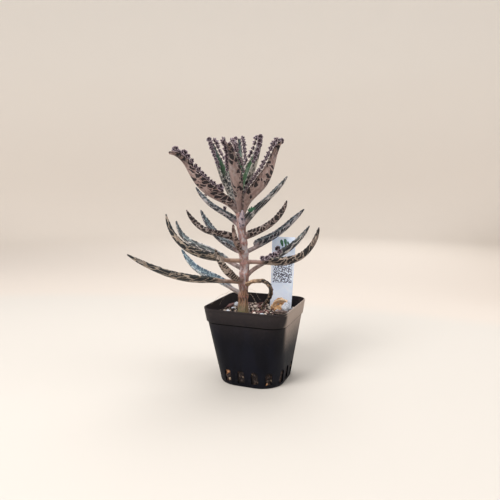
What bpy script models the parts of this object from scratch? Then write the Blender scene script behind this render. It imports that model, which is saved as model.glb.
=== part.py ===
"""A potted mother of thousands: a square nursery pot, its potting mix, one upright
stem with folded, tapering leaves, plantlets along the margins of the top leaves,
a plain plant label, and the bits that lie on the mix.

The origin is the middle of the pot's underside, on the surface it stands on.
"""

import math
import random
from collections import namedtuple

import bmesh
import bpy
from mathutils import Euler, Matrix, Vector, noise

MM = 0.001
CLEARANCE = 0.3 * MM
SEED = 23

# Pot: a 2.5 inch square nursery pot
POT_HEIGHT = 57 * MM
RIM_HALF = 31.7 * MM
RIM_CORNER = 10.5 * MM
RIM_LIP = 0.6 * MM
BAND_HEIGHT = 10.3 * MM
BAND_HALF = 30.6 * MM
BAND_STEP = 0.7 * MM
BASE_HALF = 24.1 * MM
BASE_CORNER = 17 * MM
FOOT_CHAMFER = 0.8 * MM
WALL = 1.0 * MM
FLOOR = 1.5 * MM
CORNER_STEPS = 6

# Drain slots, low in each side, at these distances along the wall from the side's middle
SLOT_WALKS = (-12.8 * MM, -2.4 * MM, 8 * MM, 18.4 * MM)
SLOT_WIDTH = 5.2 * MM
SLOT_BOTTOM = 2.5 * MM
SLOT_TOP = 12.5 * MM
SLOT_REACH = (-3 * MM, 3 * MM)
SLOT_ARC_STEPS = 3

# Potting mix
MIX_LEVEL = 49 * MM
MIX_RIPPLE = 0.7 * MM
MIX_RIPPLE_SPAN = 6 * MM
MIX_RINGS = 6
GRAIN_COUNT = 24
GRAIN_RADIUS = (1.3 * MM, 2.3 * MM)
GRAIN_STRETCH = ((0.8, 1.4), (0.7, 1.0), (0.6, 0.9))
GRAIN_TILT = 0.4
GRAIN_RISE = 0.35
GRAIN_WALL_GAP = 3 * MM
GRAIN_CORNER_REACH = 1.25

# How far the mix stays level round what stands or lies on it
LEVEL_ROUND_STEM = 2 * MM
LEVEL_ROUND_LABEL = 10 * MM
LEVEL_ROUND_DRY_LEAF = 8 * MM
LEVEL_ROUND_WILTED_TIP = 5 * MM
LEVEL_ROUND_BIT = 3 * MM

# Stem: height, sideways drift and radius at each station, from its root up
Station = namedtuple("Station", "height x y radius")
STEM = tuple(
    Station(height * MM, x * MM, y * MM, radius * MM)
    for height, x, y, radius in (
        (31, -9.4, -3.6, 2.6),
        (48, -9.2, -3.6, 4.2),
        (60, -9.1, -3.5, 3.5),
        (72, -8.6, -3.3, 3.6),
        (84, -8.0, -3.0, 3.4),
        (94, -8.6, -3.3, 3.3),
        (104, -9.4, -3.6, 3.2),
        (114, -10.1, -3.8, 3.0),
        (124, -10.9, -4.2, 2.7),
        (130, -11.2, -4.3, 1.7),
        (134, -11.4, -4.4, 0.5),
    )
)
NODE_HEIGHTS = tuple(height * MM for height in (62, 71, 79, 87, 94, 102, 114, 123))
NODE_SWELL = 0.55 * MM
NODE_SPREAD = 1.9 * MM
STEM_SIDES = 12

# Leaves: where each leaves the stem, which way it points, its length, how steeply it
# climbs at even steps from its base to its tip, the width of one folded side, the length
# of its stalk, and its form. Lengths are in millimetres, directions and climbs in degrees.
LeafPlan = namedtuple("LeafPlan", "name height direction length climb side stalk form")
LEAVES = (
    LeafPlan("leaf_01", 72, 221, 88, (10, 5, 2, 14, 25, 31, 38), 6.4, 17, "narrow"),
    LeafPlan("leaf_02", 62, 151, 91, (14, 12, 6, 6, 16, 32, 51), 5.8, 16, "narrow"),
    LeafPlan("leaf_03", 88, 221, 74, (7, 6, 10, 25, 45, 66, 86), 7.2, 15, "bellied"),
    LeafPlan("leaf_04", 81, 161, 86, (22, 16, 13, 12, 16, 39, 84), 5.6, 16, "narrow"),
    LeafPlan("leaf_05", 74, 256, 44, (4, 21, 40, 57, 75), 4.8, 6, "narrow"),
    LeafPlan("leaf_06", 75, 31, 63.5, (55, 33, 21, 26, 39, 51, 63), 5.4, 15, "narrow"),
    LeafPlan("leaf_07", 87, 351, 72, (11, 1, -3, 8, 24, 45, 64, 84), 7.0, 14, "bellied"),
    LeafPlan("leaf_08", 94, 161, 56, (10, 17, 27, 39, 53, 67), 6.2, 5, "tapered"),
    LeafPlan("leaf_09", 94, 41, 58, (25, 22, 27, 37, 44, 49), 6.4, 9, "tapered"),
    LeafPlan("leaf_10", 94, 266, 29, (21, 36, 53, 75, 92), 2.8, 4, "narrow"),
    LeafPlan("leaf_11", 101, 221, 50, (38, 22, 12, 16, 36, 55, 69), 5.8, 6, "tapered"),
    LeafPlan("leaf_12", 105, 356, 46, (18, 22, 29, 40, 58, 80), 6.0, 4, "tapered"),
    LeafPlan("leaf_13", 113, 171, 50, (43, 30, 25, 32, 45, 59), 4.4, 5, "tapered"),
    LeafPlan("leaf_14", 113, 41, 51.5, (52, 44, 41, 46, 59), 5.2, 5, "tapered"),
    LeafPlan("leaf_15", 112, 296, 17, (34, 54, 62, 66), 2.8, 3, "narrow"),
    LeafPlan("leaf_16", 122, 221, 68.5, (60, 37, 22, 29, 44, 58, 64, 45, 0), 8.4, 6, "broad"),
    LeafPlan("leaf_17", 119, 350.5, 64, (72, 64, 38, 41, 60, 74, 74, 52), 8.4, 8, "broad"),
    LeafPlan("leaf_18", 124, 282, 61, (58, 53, 50, 50, 54, 54, 8), 7.6, 8, "broad"),
    LeafPlan("leaf_19", 126, 156, 61, (44, 50, 57, 65, 66, 63), 7.2, 6, "broad"),
    LeafPlan("leaf_20", 133, 112, 57.5, (20, 54, 60, 66, 74), 6.4, 9, "broad"),
    LeafPlan("leaf_21", 126, 54, 55.6, (72, 74, 63, 67, 76, 82), 7.2, 10, "broad"),
)
LEAF_START = 1.2 * MM
LEAF_STATIONS = 13
MIDLINE_PIECES = 60
TOOTHED_SHARE = (0.1, 0.95)

# Share of the full width along a blade, from the end of its stalk to its tip
OUTLINES = {
    "narrow": ((0, 0.36), (0.12, 0.72), (0.36, 1), (0.52, 0.92), (0.7, 0.7), (0.86, 0.46), (1, 0.1)),
    "bellied": ((0, 0.4), (0.1, 0.85), (0.3, 1), (0.45, 0.95), (0.6, 0.68), (0.9, 0.3), (1, 0.08)),
    "tapered": ((0, 0.6), (0.06, 0.95), (0.3, 0.88), (0.55, 0.72), (0.8, 0.54), (0.92, 0.28), (1, 0.1)),
    "broad": ((0, 0.3), (0.1, 0.62), (0.28, 0.94), (0.42, 1), (0.52, 0.95), (0.66, 0.68), (1, 0.2)),
}
STALK_SIDE = 1.7 * MM
TIP_SIDE = 0.65 * MM
TIP_THINNING = (0.45, 6)
CHANNEL_HALF = 0.15 * MM
STALK_EXTRA_THICKNESS = 0.8 * MM
STALK_FADE = 4

# Slope of each side of the folded blade, at the keel and at the margin
NARROW_FOLD = (math.radians(22), math.radians(66))
BROAD_FOLD = (math.radians(40), math.radians(74))
KEEL_THICKNESS = 1.7 * MM
KEEL_LIMIT = (1.3, 0.5 * MM)
MARGIN_THICKNESS = 0.75 * MM
TOOTH = 0.09

# Plantlets, in rows along both margins of each broad leaf
PLANTLETS_FROM = {
    "leaf_16": 0.32,
    "leaf_17": 0.28,
    "leaf_18": 0.52,
    "leaf_19": 0.6,
    "leaf_20": 0.58,
    "leaf_21": 0.6,
}
PLANTLET_END = 0.985
PLANTLET_SPACING = 4.2 * MM
PLANTLET_RADIUS = (2.1 * MM, 1.2 * MM)
PLANTLET_ROOT = 1.3 * MM
PLANTLET_RISE = 1.1 * MM
PLANTLET_CUP = 0.4 * MM
PLANTLET_SCALE = (0.9, 1.05)
PLANTLET_GROWTH = ((0, 0.7), (0.3, 0.9), (0.7, 1), (1, 1.2))
PLANTLET_LEAN = ((-0.25, 0.25), (0.5, 1.0), (-0.1, 0.3))
PLANTLET_STAGGER = 0.5

# Single plantlets that stay on other leaves: share of the length, margin and scale
LONE_PLANTLETS = {
    "leaf_06": ((0.62, 1, 1.5), (0.5, -1, 1.0)),
    "leaf_07": ((0.27, 1, 1.3), (0.24, -1, 1.1)),
    "leaf_13": ((0.84, -1, 0.9), (0.42, -1, 1.0)),
    "leaf_14": ((0.24, -1, 1.4),),
    "leaf_16": ((0.345, 1, 1.7),),
}

# A leaf that has wilted and hangs into the pot, and one that has dropped
WILTED_CLIMB = (38, 31, 10, 3, -39, -102, -128, -127, -129)
WILTED_LEAF = LeafPlan("wilted_leaf", 69, 341, 47.4, WILTED_CLIMB, 2.1, 20, "narrow")
DRY_LEAF = LeafPlan("dry_leaf", 0, 20, 17, (75, 45, 5, -45, -80), 3.6, 2, "narrow")
DRY_LEAF_PLACE = (7.4 * MM, 13.0 * MM)

# Plant label, pushed into the mix
LABEL_WIDTH = 18.2 * MM
LABEL_FOOT_WIDTH = 16 * MM
LABEL_LENGTH = 92 * MM
LABEL_THICKNESS = 0.6 * MM
LABEL_POINT = 16 * MM
LABEL_CORNER = 1.5 * MM
LABEL_TOP = Vector((15.3 * MM, 20.6 * MM, 104.8 * MM))
LABEL_FACING = math.radians(20.8)
LABEL_LEAN = math.radians(2.7)

# Loose bits on the mix: place, size along, across and up in millimetres, and turn in degrees
LooseBit = namedtuple("LooseBit", "name x y size turn")
PUMICE = (
    LooseBit("pumice_1", 20.4, 10.0, (8.8, 7.0, 8.4), 20),
    LooseBit("pumice_2", -21.6, 12.6, (4.4, 3.4, 4.2), 65),
    LooseBit("pumice_3", 9.0, -13.0, (5.0, 4.2, 3.8), 110),
)
BARK = (
    LooseBit("bark_chip_1", 18.6, 1.2, (10.5, 5.2, 3.6), 25),
    LooseBit("bark_chip_2", -25.8, 11.0, (15.0, 3.4, 2.6), 86),
    LooseBit("bark_chip_3", -1.4, 14.6, (8.0, 4.6, 2.6), 70),
)

PUMICE_LUMPS = (0.28, 3)
PUMICE_FLAT = 0.38
BARK_TAPER = 0.5
BARK_RAGGED = (0.22, 4)
BARK_FLAT = 0.3

# Linear base colour and roughness of each finish
COLOURS = {
    "pot": ((0.028, 0.026, 0.027), 0.55),
    "potting_mix": ((0.16, 0.095, 0.07), 0.9),
    "stem": ((0.42, 0.27, 0.24), 0.6),
    "leaf": ((0.33, 0.26, 0.22), 0.55),
    "broad_leaf": ((0.32, 0.21, 0.19), 0.55),
    "wilted_leaf": ((0.16, 0.13, 0.09), 0.7),
    "dry_leaf": ((0.62, 0.36, 0.12), 0.75),
    "label": ((0.62, 0.66, 0.78), 0.4),
    "pumice": ((0.66, 0.66, 0.68), 0.85),
    "bark": ((0.19, 0.085, 0.06), 0.85),
}


def clear_scene():
    """Removes whatever the file opened with."""
    for thing in list(bpy.data.objects):
        bpy.data.objects.remove(thing, do_unlink=True)


def material(name):
    """The one material of that name, made when first asked for."""
    if name in bpy.data.materials:
        return bpy.data.materials[name]
    colour, roughness = COLOURS[name]
    made = bpy.data.materials.new(name)
    made.use_nodes = True
    shader = made.node_tree.nodes["Principled BSDF"]
    shader.inputs["Base Color"].default_value = (*colour, 1)
    shader.inputs["Roughness"].default_value = roughness
    shader.inputs["Metallic"].default_value = 0
    return made


def add_object(name, skin, finish=None):
    """Turns a bmesh into a named object in the scene."""
    bmesh.ops.recalc_face_normals(skin, faces=skin.faces)
    mesh = bpy.data.meshes.new(name)
    skin.to_mesh(mesh)
    skin.free()
    made = bpy.data.objects.new(name, mesh)
    bpy.context.scene.collection.objects.link(made)
    if finish:
        mesh.materials.append(material(finish))
    return made


def as_cutter(tool):
    """Marks an object as a cutter, which is not part of the model."""
    tool.hide_render = True
    tool.display_type = "WIRE"
    return tool


def cut_by(target, tool):
    """Cuts a tool's shape out of an object."""
    modifier = target.modifiers.new("cut by " + tool.name, "BOOLEAN")
    modifier.operation = "DIFFERENCE"
    modifier.solver = "EXACT"
    modifier.object = tool


def fuse(target, pieces):
    """Joins loose pieces to an object by one union, and removes the loose ones."""
    group = bpy.data.collections.new(target.name + " pieces")
    bpy.context.scene.collection.children.link(group)
    for piece in pieces:
        bpy.context.scene.collection.objects.unlink(piece)
        group.objects.link(piece)
    modifier = target.modifiers.new("fused pieces", "BOOLEAN")
    modifier.operation = "UNION"
    modifier.solver = "EXACT"
    modifier.operand_type = "COLLECTION"
    modifier.collection = group
    graph = bpy.context.evaluated_depsgraph_get()
    joined = bpy.data.meshes.new_from_object(target.evaluated_get(graph))
    target.modifiers.clear()
    target.data = joined
    for piece in pieces:
        bpy.data.objects.remove(piece, do_unlink=True)
    bpy.data.collections.remove(group)


def smooth(thing, degrees=50):
    """Shades round surfaces smooth and keeps real corners sharp."""
    thing.data.shade_smooth()
    thing.data.set_sharp_from_angle(angle=math.radians(degrees))


def interpolate(position, stops):
    """The value at a position between the stops, which are (position, value) pairs."""
    for (start, low), (end, high) in zip(stops, stops[1:]):
        if position <= end:
            share = (position - start) / (end - start)
            return low + (high - low) * share
    return stops[-1][1]


def loft(rings):
    """Joins rings of points, one after the other, into a closed skin.

    The second half of each ring backs the first half. Its squares are split along the
    same diagonals, so the two faces of a thin blade never cross.
    """
    skin = bmesh.new()
    loops = [[skin.verts.new(point) for point in ring] for ring in rings]
    count = len(loops[0])
    for near, far in zip(loops, loops[1:]):
        for k in range(count):
            after = (k + 1) % count
            a, b, c, d = near[k], near[after], far[after], far[k]
            if k < count // 2:
                skin.faces.new((a, b, c))
                skin.faces.new((a, c, d))
            else:
                skin.faces.new((a, b, d))
                skin.faces.new((b, c, d))
    skin.faces.new(loops[0])
    skin.faces.new(loops[-1])
    return skin


def rounded_square(half, corner, height):
    """A level ring of points round the pot's axis."""
    ring = []
    for quarter in range(4):
        start = math.radians(90 * quarter)
        middle = Matrix.Rotation(start, 2) @ Vector((half - corner, half - corner))
        for step in range(CORNER_STEPS + 1):
            angle = start + math.radians(90 * step / CORNER_STEPS)
            x = middle.x + corner * math.cos(angle)
            y = middle.y + corner * math.sin(angle)
            ring.append(Vector((x, y, height)))
    return ring


def pot_half(height):
    """Half the pot's outer width at a height, on the plain wall or on the band."""
    band_bottom = POT_HEIGHT - BAND_HEIGHT
    wall_top = BAND_HALF - BAND_STEP
    stops = ((0, BASE_HALF), (band_bottom, wall_top), (band_bottom, BAND_HALF), (POT_HEIGHT, RIM_HALF))
    return interpolate(height, stops)


def pot_corner(height):
    """The pot's outer corner radius at a height."""
    return interpolate(height, ((0, BASE_CORNER), (POT_HEIGHT, RIM_CORNER)))


def pot_ring(height, inset=0.0, outward=0.0):
    """A ring of the pot at a height, set in from its outer face."""
    half = pot_half(height) - inset + outward
    return rounded_square(half, pot_corner(height) - inset + outward, height)


def slot_prism(side, walk):
    """An arched prism through the pot's wall, at a distance along one side and its corner."""
    radius = SLOT_WIDTH / 2
    outline = [(-radius, SLOT_BOTTOM), (radius, SLOT_BOTTOM)]
    for step in range(SLOT_ARC_STEPS + 1):
        angle = math.pi * step / SLOT_ARC_STEPS
        outline.append((radius * math.cos(angle), SLOT_TOP - radius + radius * math.sin(angle)))
    middle = (SLOT_BOTTOM + SLOT_TOP) / 2
    corner = pot_corner(middle)
    flat = pot_half(middle) - corner
    bend = math.copysign(max(0.0, abs(walk) - flat) / corner, walk)
    centre = Vector((min(max(walk, -flat), flat), -flat, 0))
    side_turn = Matrix.Rotation(math.radians(90 * side), 3, "Z")
    bend_turn = Matrix.Rotation(bend, 3, "Z")
    rings = []
    for reach in SLOT_REACH:
        points = [bend_turn @ Vector((x, -corner - reach, z)) for x, z in outline]
        rings.append([side_turn @ (centre + point) for point in points])
    return rings


def make_pot():
    """The moulded shell, with its stepped rim band and its drain slots."""
    band_bottom = POT_HEIGHT - BAND_HEIGHT
    rings = [
        pot_ring(0, inset=FOOT_CHAMFER),
        pot_ring(FOOT_CHAMFER),
        pot_ring(band_bottom),
        pot_ring(band_bottom, outward=BAND_STEP),
        pot_ring(POT_HEIGHT - RIM_LIP),
        pot_ring(POT_HEIGHT, inset=RIM_LIP / 2),
        pot_ring(POT_HEIGHT, inset=WALL),
        pot_ring(band_bottom + WALL, inset=WALL),
        pot_ring(band_bottom - WALL, inset=WALL),
        pot_ring(FLOOR, inset=WALL),
    ]
    pot = add_object("pot", loft(rings), "pot")
    cutter = bmesh.new()
    for side in range(4):
        for walk in SLOT_WALKS:
            prism = loft(slot_prism(side, walk))
            scratch = bpy.data.meshes.new("slot")
            prism.to_mesh(scratch)
            prism.free()
            cutter.from_mesh(scratch)
            bpy.data.meshes.remove(scratch)
    cut_by(pot, as_cutter(add_object("drain slots", cutter)))
    smooth(pot, 32)


def stem_at(height):
    """The stem's middle and radius at a height, with the swelling at its nodes."""
    x = interpolate(height, [(s.height, s.x) for s in STEM])
    y = interpolate(height, [(s.height, s.y) for s in STEM])
    radius = interpolate(height, [(s.height, s.radius) for s in STEM])
    for node in NODE_HEIGHTS:
        radius += NODE_SWELL * math.exp(-(((height - node) / NODE_SPREAD) ** 2))
    return Vector((x, y, height)), radius


def stem_heights():
    """Heights of the stem's rings: at its nodes and half way between them."""
    heights = [STEM[0].height, MIX_LEVEL]
    above = NODE_HEIGHTS[1:] + (STEM[-1].height,)
    for node, after in zip(NODE_HEIGHTS, above):
        heights += [node, (node + after) / 2]
    return heights + [STEM[-1].height]


def stem_rings(extra=0.0):
    """Rings round the stem, with extra radius where it is made as a cutter."""
    heights = stem_heights()
    angles = [math.tau * k / STEM_SIDES for k in range(STEM_SIDES)]
    rings = []
    for height in heights:
        middle, radius = stem_at(height)
        if height == heights[0]:
            middle.z -= extra
        if height == heights[-1]:
            middle.z += extra
        reach = radius + extra
        rings.append([middle + Vector((math.cos(a), math.sin(a), 0)) * reach for a in angles])
    return rings


def fold_section(side, fold, keel, margin):
    """The ring of a folded blade's cross-section, as (across, up) pairs.

    It runs along the underside from one margin to the other, and back along the top.
    """
    keel_slope, margin_slope = fold
    inner, outer = (keel_slope * (1 - v) + margin_slope * v for v in (0.25, 0.75))
    half = side / 2
    middle = (half * math.cos(inner), half * math.sin(inner), (inner + outer) / 2, (keel + margin) / 2)
    across, up = middle[0] + half * math.cos(outer), middle[1] + half * math.sin(outer)
    edge = (across, up, margin_slope, margin)

    def offset(point, mirror, way):
        across, up, slope, thickness = point
        across -= way * math.sin(slope) * thickness / 2
        up += way * math.cos(slope) * thickness / 2
        return (mirror * max(across, CHANNEL_HALF), up)

    under = [offset(edge, -1, -1), offset(middle, -1, -1), (0, -keel / 2)]
    under += [offset(middle, 1, -1), offset(edge, 1, -1)]
    upper = [offset(edge, 1, 1), offset(middle, 1, 1), (0, keel / 2)]
    upper += [offset(middle, -1, 1), offset(edge, -1, 1)]
    return under + upper


class LeafShape:
    """A leaf's midline and cross-sections, in its own frame: X outwards, Z up."""

    def __init__(self, plan):
        self.plan = plan
        self.length = plan.length * MM
        self.outline = OUTLINES[plan.form]
        self.fold = BROAD_FOLD if plan.form == "broad" else NARROW_FOLD

    def climb(self, along):
        """The midline's slope at a share of the length."""
        last = len(self.plan.climb) - 1
        stops = [(step / last, math.radians(angle)) for step, angle in enumerate(self.plan.climb)]
        return interpolate(along, stops)

    def midline(self, along):
        """The midline's point at a share of the length."""
        point = Vector((LEAF_START, 0, 0))
        step = self.length * along / MIDLINE_PIECES
        for piece in range(MIDLINE_PIECES):
            slope = self.climb(along * (piece + 0.5) / MIDLINE_PIECES)
            point += Vector((math.cos(slope), 0, math.sin(slope))) * step
        return point

    def on_blade(self, along):
        """The share of the blade's own length, below nought on the stalk."""
        stalk = self.plan.stalk / self.plan.length
        return (along - stalk) / (1 - stalk)

    def side(self, along):
        """The width of one side of the blade, or of the stalk."""
        share = self.on_blade(along)
        if share < 0:
            return STALK_SIDE
        blade = self.plan.side * MM * interpolate(share, self.outline)
        return max(blade, STALK_SIDE * (1 - share * 2), TIP_SIDE)

    def ring(self, along, tooth):
        """The cross-section in space, with its margins pushed out where a tooth is."""
        side = self.side(along)
        stalk = min(1.0, max(0.0, 1 - self.on_blade(along) * STALK_FADE)) * STALK_EXTRA_THICKNESS
        fade = min(1.0, TIP_THINNING[0] + TIP_THINNING[1] * (1 - along))
        keel = min((KEEL_THICKNESS + stalk) * fade, side * KEEL_LIMIT[0] + KEEL_LIMIT[1])
        section = fold_section(side * (1 + tooth), self.fold, keel, MARGIN_THICKNESS + stalk)
        slope = self.climb(along)
        up = Vector((-math.sin(slope), 0, math.cos(slope)))
        across = Vector((0, 1, 0))
        middle = self.midline(along)
        return [middle + across * s + up * n for s, n in section]

    def rings(self):
        """All the cross-sections from stalk to tip, with a tooth at every other one."""
        rings = []
        for station in range(LEAF_STATIONS):
            along = station / (LEAF_STATIONS - 1)
            first, last = TOOTHED_SHARE
            toothed = station % 2 == 0 and first < self.on_blade(along) < last
            rings.append(self.ring(along, TOOTH if toothed else 0.0))
        return rings

    def margin_point(self, along, mirror):
        """A point on the blade's edge, and the way that edge faces."""
        ring = self.ring(along, 0.0)
        under, upper = (ring[4], ring[5]) if mirror > 0 else (ring[0], ring[9])
        inner = ring[6] if mirror > 0 else ring[8]
        edge = (under + upper) / 2
        return edge, (upper - inner).normalized()


def plantlet(shape, along, mirror, scale, draw):
    """A four-lobed plantlet: a cupped star on a point that is sunk in the margin."""
    edge, facing = shape.margin_point(along, mirror)
    lean = Vector([draw.uniform(*limits) for limits in PLANTLET_LEAN])
    lean.y *= mirror
    axis = (facing + lean).normalized()
    turn = axis.to_track_quat("Z", "Y").to_matrix()
    spin = draw.uniform(0, math.pi / 2)
    skin = bmesh.new()
    base = edge + axis * PLANTLET_RISE * scale
    rim = []
    for k in range(8):
        radius = PLANTLET_RADIUS[k % 2] * scale
        angle = spin + math.tau * k / 8
        lift = 0.0 if k % 2 else PLANTLET_RISE * scale
        spot = turn @ Vector((radius * math.cos(angle), radius * math.sin(angle), lift))
        rim.append(skin.verts.new(base + spot))
    low = skin.verts.new(edge - axis * PLANTLET_ROOT)
    high = skin.verts.new(base + axis * PLANTLET_CUP)
    for k in range(8):
        skin.faces.new((rim[k], rim[(k + 1) % 8], high))
        skin.faces.new((rim[(k + 1) % 8], rim[k], low))
    return add_object("plantlet", skin)


def place_on_stem(leaf, plan):
    """Puts a leaf at its node and turns it to its direction."""
    middle, _ = stem_at(plan.height * MM)
    leaf.location = middle
    leaf.rotation_euler = Euler((0, 0, math.radians(plan.direction)))


def make_leaf(plan, clearance, plant, draw, finish):
    """One leaf, with its plantlets if it is a broad one, cut clear of the stem."""
    shape = LeafShape(plan)
    leaf = add_object(plan.name, loft(shape.rings()), finish)
    spots = list(LONE_PLANTLETS.get(plan.name, ()))
    if plan.form == "broad":
        first, last = PLANTLETS_FROM[plan.name], PLANTLET_END
        count = round(shape.length * (last - first) / PLANTLET_SPACING)
        for mirror in (-1, 1):
            for k in range(count):
                share = (k + (PLANTLET_STAGGER if mirror < 0 else 1)) / count
                along = first + (last - first) * share
                scale = draw.uniform(*PLANTLET_SCALE) * interpolate(share, PLANTLET_GROWTH)
                spots.append((along, mirror, scale))
    if spots:
        fuse(leaf, [plantlet(shape, *spot, draw) for spot in spots])
    place_on_stem(leaf, plan)
    leaf.parent = plant
    cut_by(leaf, clearance)
    smooth(leaf)


def make_stem(plant):
    """The stem, from its root in the mix to its tip, and the room that it needs."""
    stem = add_object("stem", loft(stem_rings()), "stem")
    stem.parent = plant
    smooth(stem)
    clearance = as_cutter(add_object("stem clearance", loft(stem_rings(CLEARANCE))))
    clearance.parent = plant
    return clearance


def label_outline(extra):
    """The label's outline: rounded top corners and a pointed foot."""
    half = LABEL_WIDTH / 2 + extra
    corner = LABEL_CORNER
    foot = LABEL_FOOT_WIDTH / 2 + extra
    outline = [Vector((0, -LABEL_LENGTH - extra)), Vector((foot, -LABEL_LENGTH + LABEL_POINT))]
    for mirror in (1, -1):
        for step in range(4):
            angle = math.radians(30 * step if mirror > 0 else 90 - 30 * step)
            x = half - corner + corner * math.cos(angle)
            y = corner * (math.sin(angle) - 1) + extra
            outline.append(Vector((mirror * x, y)))
    outline.append(Vector((-foot, -LABEL_LENGTH + LABEL_POINT)))
    return outline


def label_solid(name, extra=0.0, finish=None):
    """The label as a flat strip, or a slightly larger one to cut its slot."""
    depth = LABEL_THICKNESS / 2 + extra
    outline = label_outline(extra)
    rings = [[Vector((p.x, way * depth, p.y)) for p in outline] for way in (-1, 1)]
    strip = add_object(name, loft(rings), finish)
    strip.location = LABEL_TOP
    strip.rotation_euler = Euler((0, LABEL_LEAN, LABEL_FACING))
    return strip


def keep_outs():
    """Circles on the mix where it stays level, as (x, y, radius)."""
    foot, radius = stem_at(MIX_LEVEL)
    spots = [
        (foot.x, foot.y, radius + LEVEL_ROUND_STEM),
        (*DRY_LEAF_PLACE, LEVEL_ROUND_DRY_LEAF),
        (LABEL_TOP.x, LABEL_TOP.y, LEVEL_ROUND_LABEL),
    ]
    for bit in PUMICE + BARK:
        spots.append((bit.x * MM, bit.y * MM, bit.size[0] / 2 * MM + LEVEL_ROUND_BIT))
    node, _ = stem_at(WILTED_LEAF.height * MM)
    turn = Matrix.Rotation(math.radians(WILTED_LEAF.direction), 3, "Z")
    tip = node + turn @ LeafShape(WILTED_LEAF).midline(1.0)
    spots.append((tip.x, tip.y, LEVEL_ROUND_WILTED_TIP))
    return spots


def is_level(x, y, spots, margin=0.0):
    """Whether a point of the mix lies where a neighbour stands or rests."""
    return any(math.hypot(x - sx, y - sy) < radius + margin for sx, sy, radius in spots)


def make_mix(clearance, label_slot):
    """The potting mix: one body that fills the pot, with grains standing proud."""
    draw = random.Random(SEED)
    gap = WALL + CLEARANCE
    spots = keep_outs()
    band_bottom = POT_HEIGHT - BAND_HEIGHT
    rings = [pot_ring(FLOOR + CLEARANCE, inset=gap), pot_ring(band_bottom - WALL, inset=gap)]
    rings.append(pot_ring(MIX_LEVEL, inset=gap))
    for ring_number in range(1, MIX_RINGS):
        share = 1 - ring_number / MIX_RINGS
        ring = []
        for point in pot_ring(MIX_LEVEL, inset=gap):
            x, y = point.x * share, point.y * share
            rise = 0.0
            if not is_level(x, y, spots):
                rise = MIX_RIPPLE * noise.noise(Vector((x, y, 0)) / MIX_RIPPLE_SPAN)
            ring.append(Vector((x, y, MIX_LEVEL + rise)))
        rings.append(ring)
    mix = add_object("potting_mix", loft(rings), "potting_mix")
    fuse(mix, make_grains(spots, draw))
    cut_by(mix, clearance)
    cut_by(mix, label_slot)


def make_grains(spots, draw):
    """Coarse grains, half sunk, scattered where nothing stands on the mix."""
    grains = []
    inner = pot_half(MIX_LEVEL) - WALL - CLEARANCE - GRAIN_WALL_GAP
    while len(grains) < GRAIN_COUNT:
        x, y = draw.uniform(-inner, inner), draw.uniform(-inner, inner)
        radius = draw.uniform(*GRAIN_RADIUS)
        if is_level(x, y, spots, radius) or math.hypot(x, y) > inner * GRAIN_CORNER_REACH:
            continue
        skin = bmesh.new()
        bmesh.ops.create_icosphere(skin, subdivisions=1, radius=radius)
        stretch = Vector([draw.uniform(*limits) for limits in GRAIN_STRETCH])
        bmesh.ops.scale(skin, vec=stretch, verts=skin.verts)
        grain = add_object("grain", skin)
        grain.location = (x, y, MIX_LEVEL + radius * GRAIN_RISE)
        tilt = [draw.uniform(-GRAIN_TILT, GRAIN_TILT) for _ in range(2)]
        grain.rotation_euler = Euler((*tilt, draw.uniform(0, math.tau)))
        grains.append(grain)
    return grains


def rest_on_mix(thing, x, y):
    """Stands an object on the mix, a hair above it."""
    lowest = min(vertex.co.z for vertex in thing.data.vertices)
    thing.location = (x, y, MIX_LEVEL + CLEARANCE - lowest)


def make_pumice(bit, draw):
    """A rounded, uneven lump of pumice."""
    skin = bmesh.new()
    bmesh.ops.create_icosphere(skin, subdivisions=2, radius=0.5)
    drift = Vector((draw.uniform(0, 9), draw.uniform(0, 9), 0))
    for vertex in skin.verts:
        lump = 1 + PUMICE_LUMPS[0] * noise.noise(vertex.co * PUMICE_LUMPS[1] + drift)
        vertex.co = Vector([c * lump * size * MM for c, size in zip(vertex.co, bit.size)])
        vertex.co.z = max(vertex.co.z, -PUMICE_FLAT * bit.size[2] * MM)
    made = add_object(bit.name, skin, "pumice")
    made.rotation_euler = Euler((0, 0, math.radians(bit.turn)))
    rest_on_mix(made, bit.x * MM, bit.y * MM)
    smooth(made)


def make_bark(bit, draw):
    """A flat, split chip of bark."""
    skin = bmesh.new()
    bmesh.ops.create_cube(skin, size=1)
    bmesh.ops.subdivide_edges(skin, edges=skin.edges[:], cuts=1, use_grid_fill=True)
    drift = Vector((draw.uniform(0, 9), draw.uniform(0, 9), 0))
    for vertex in skin.verts:
        taper = 1 - BARK_TAPER * abs(vertex.co.x)
        ragged = 1 + BARK_RAGGED[0] * noise.noise(vertex.co * BARK_RAGGED[1] + drift)
        vertex.co = Vector((vertex.co.x * ragged, vertex.co.y * taper * ragged, vertex.co.z * taper))
        vertex.co = Vector([c * size * MM for c, size in zip(vertex.co, bit.size)])
        vertex.co.z = max(vertex.co.z, -BARK_FLAT * bit.size[2] * MM)
    made = add_object(bit.name, skin, "bark")
    made.rotation_euler = Euler((0, 0, math.radians(bit.turn)))
    rest_on_mix(made, bit.x * MM, bit.y * MM)


def make_dry_leaf():
    """The dropped leaf, curled up on the mix in front of the label."""
    leaf = add_object(DRY_LEAF.name, loft(LeafShape(DRY_LEAF).rings()), "dry_leaf")
    leaf.rotation_euler = Euler((0, 0, math.radians(DRY_LEAF.direction)))
    rest_on_mix(leaf, *DRY_LEAF_PLACE)
    smooth(leaf)


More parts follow.
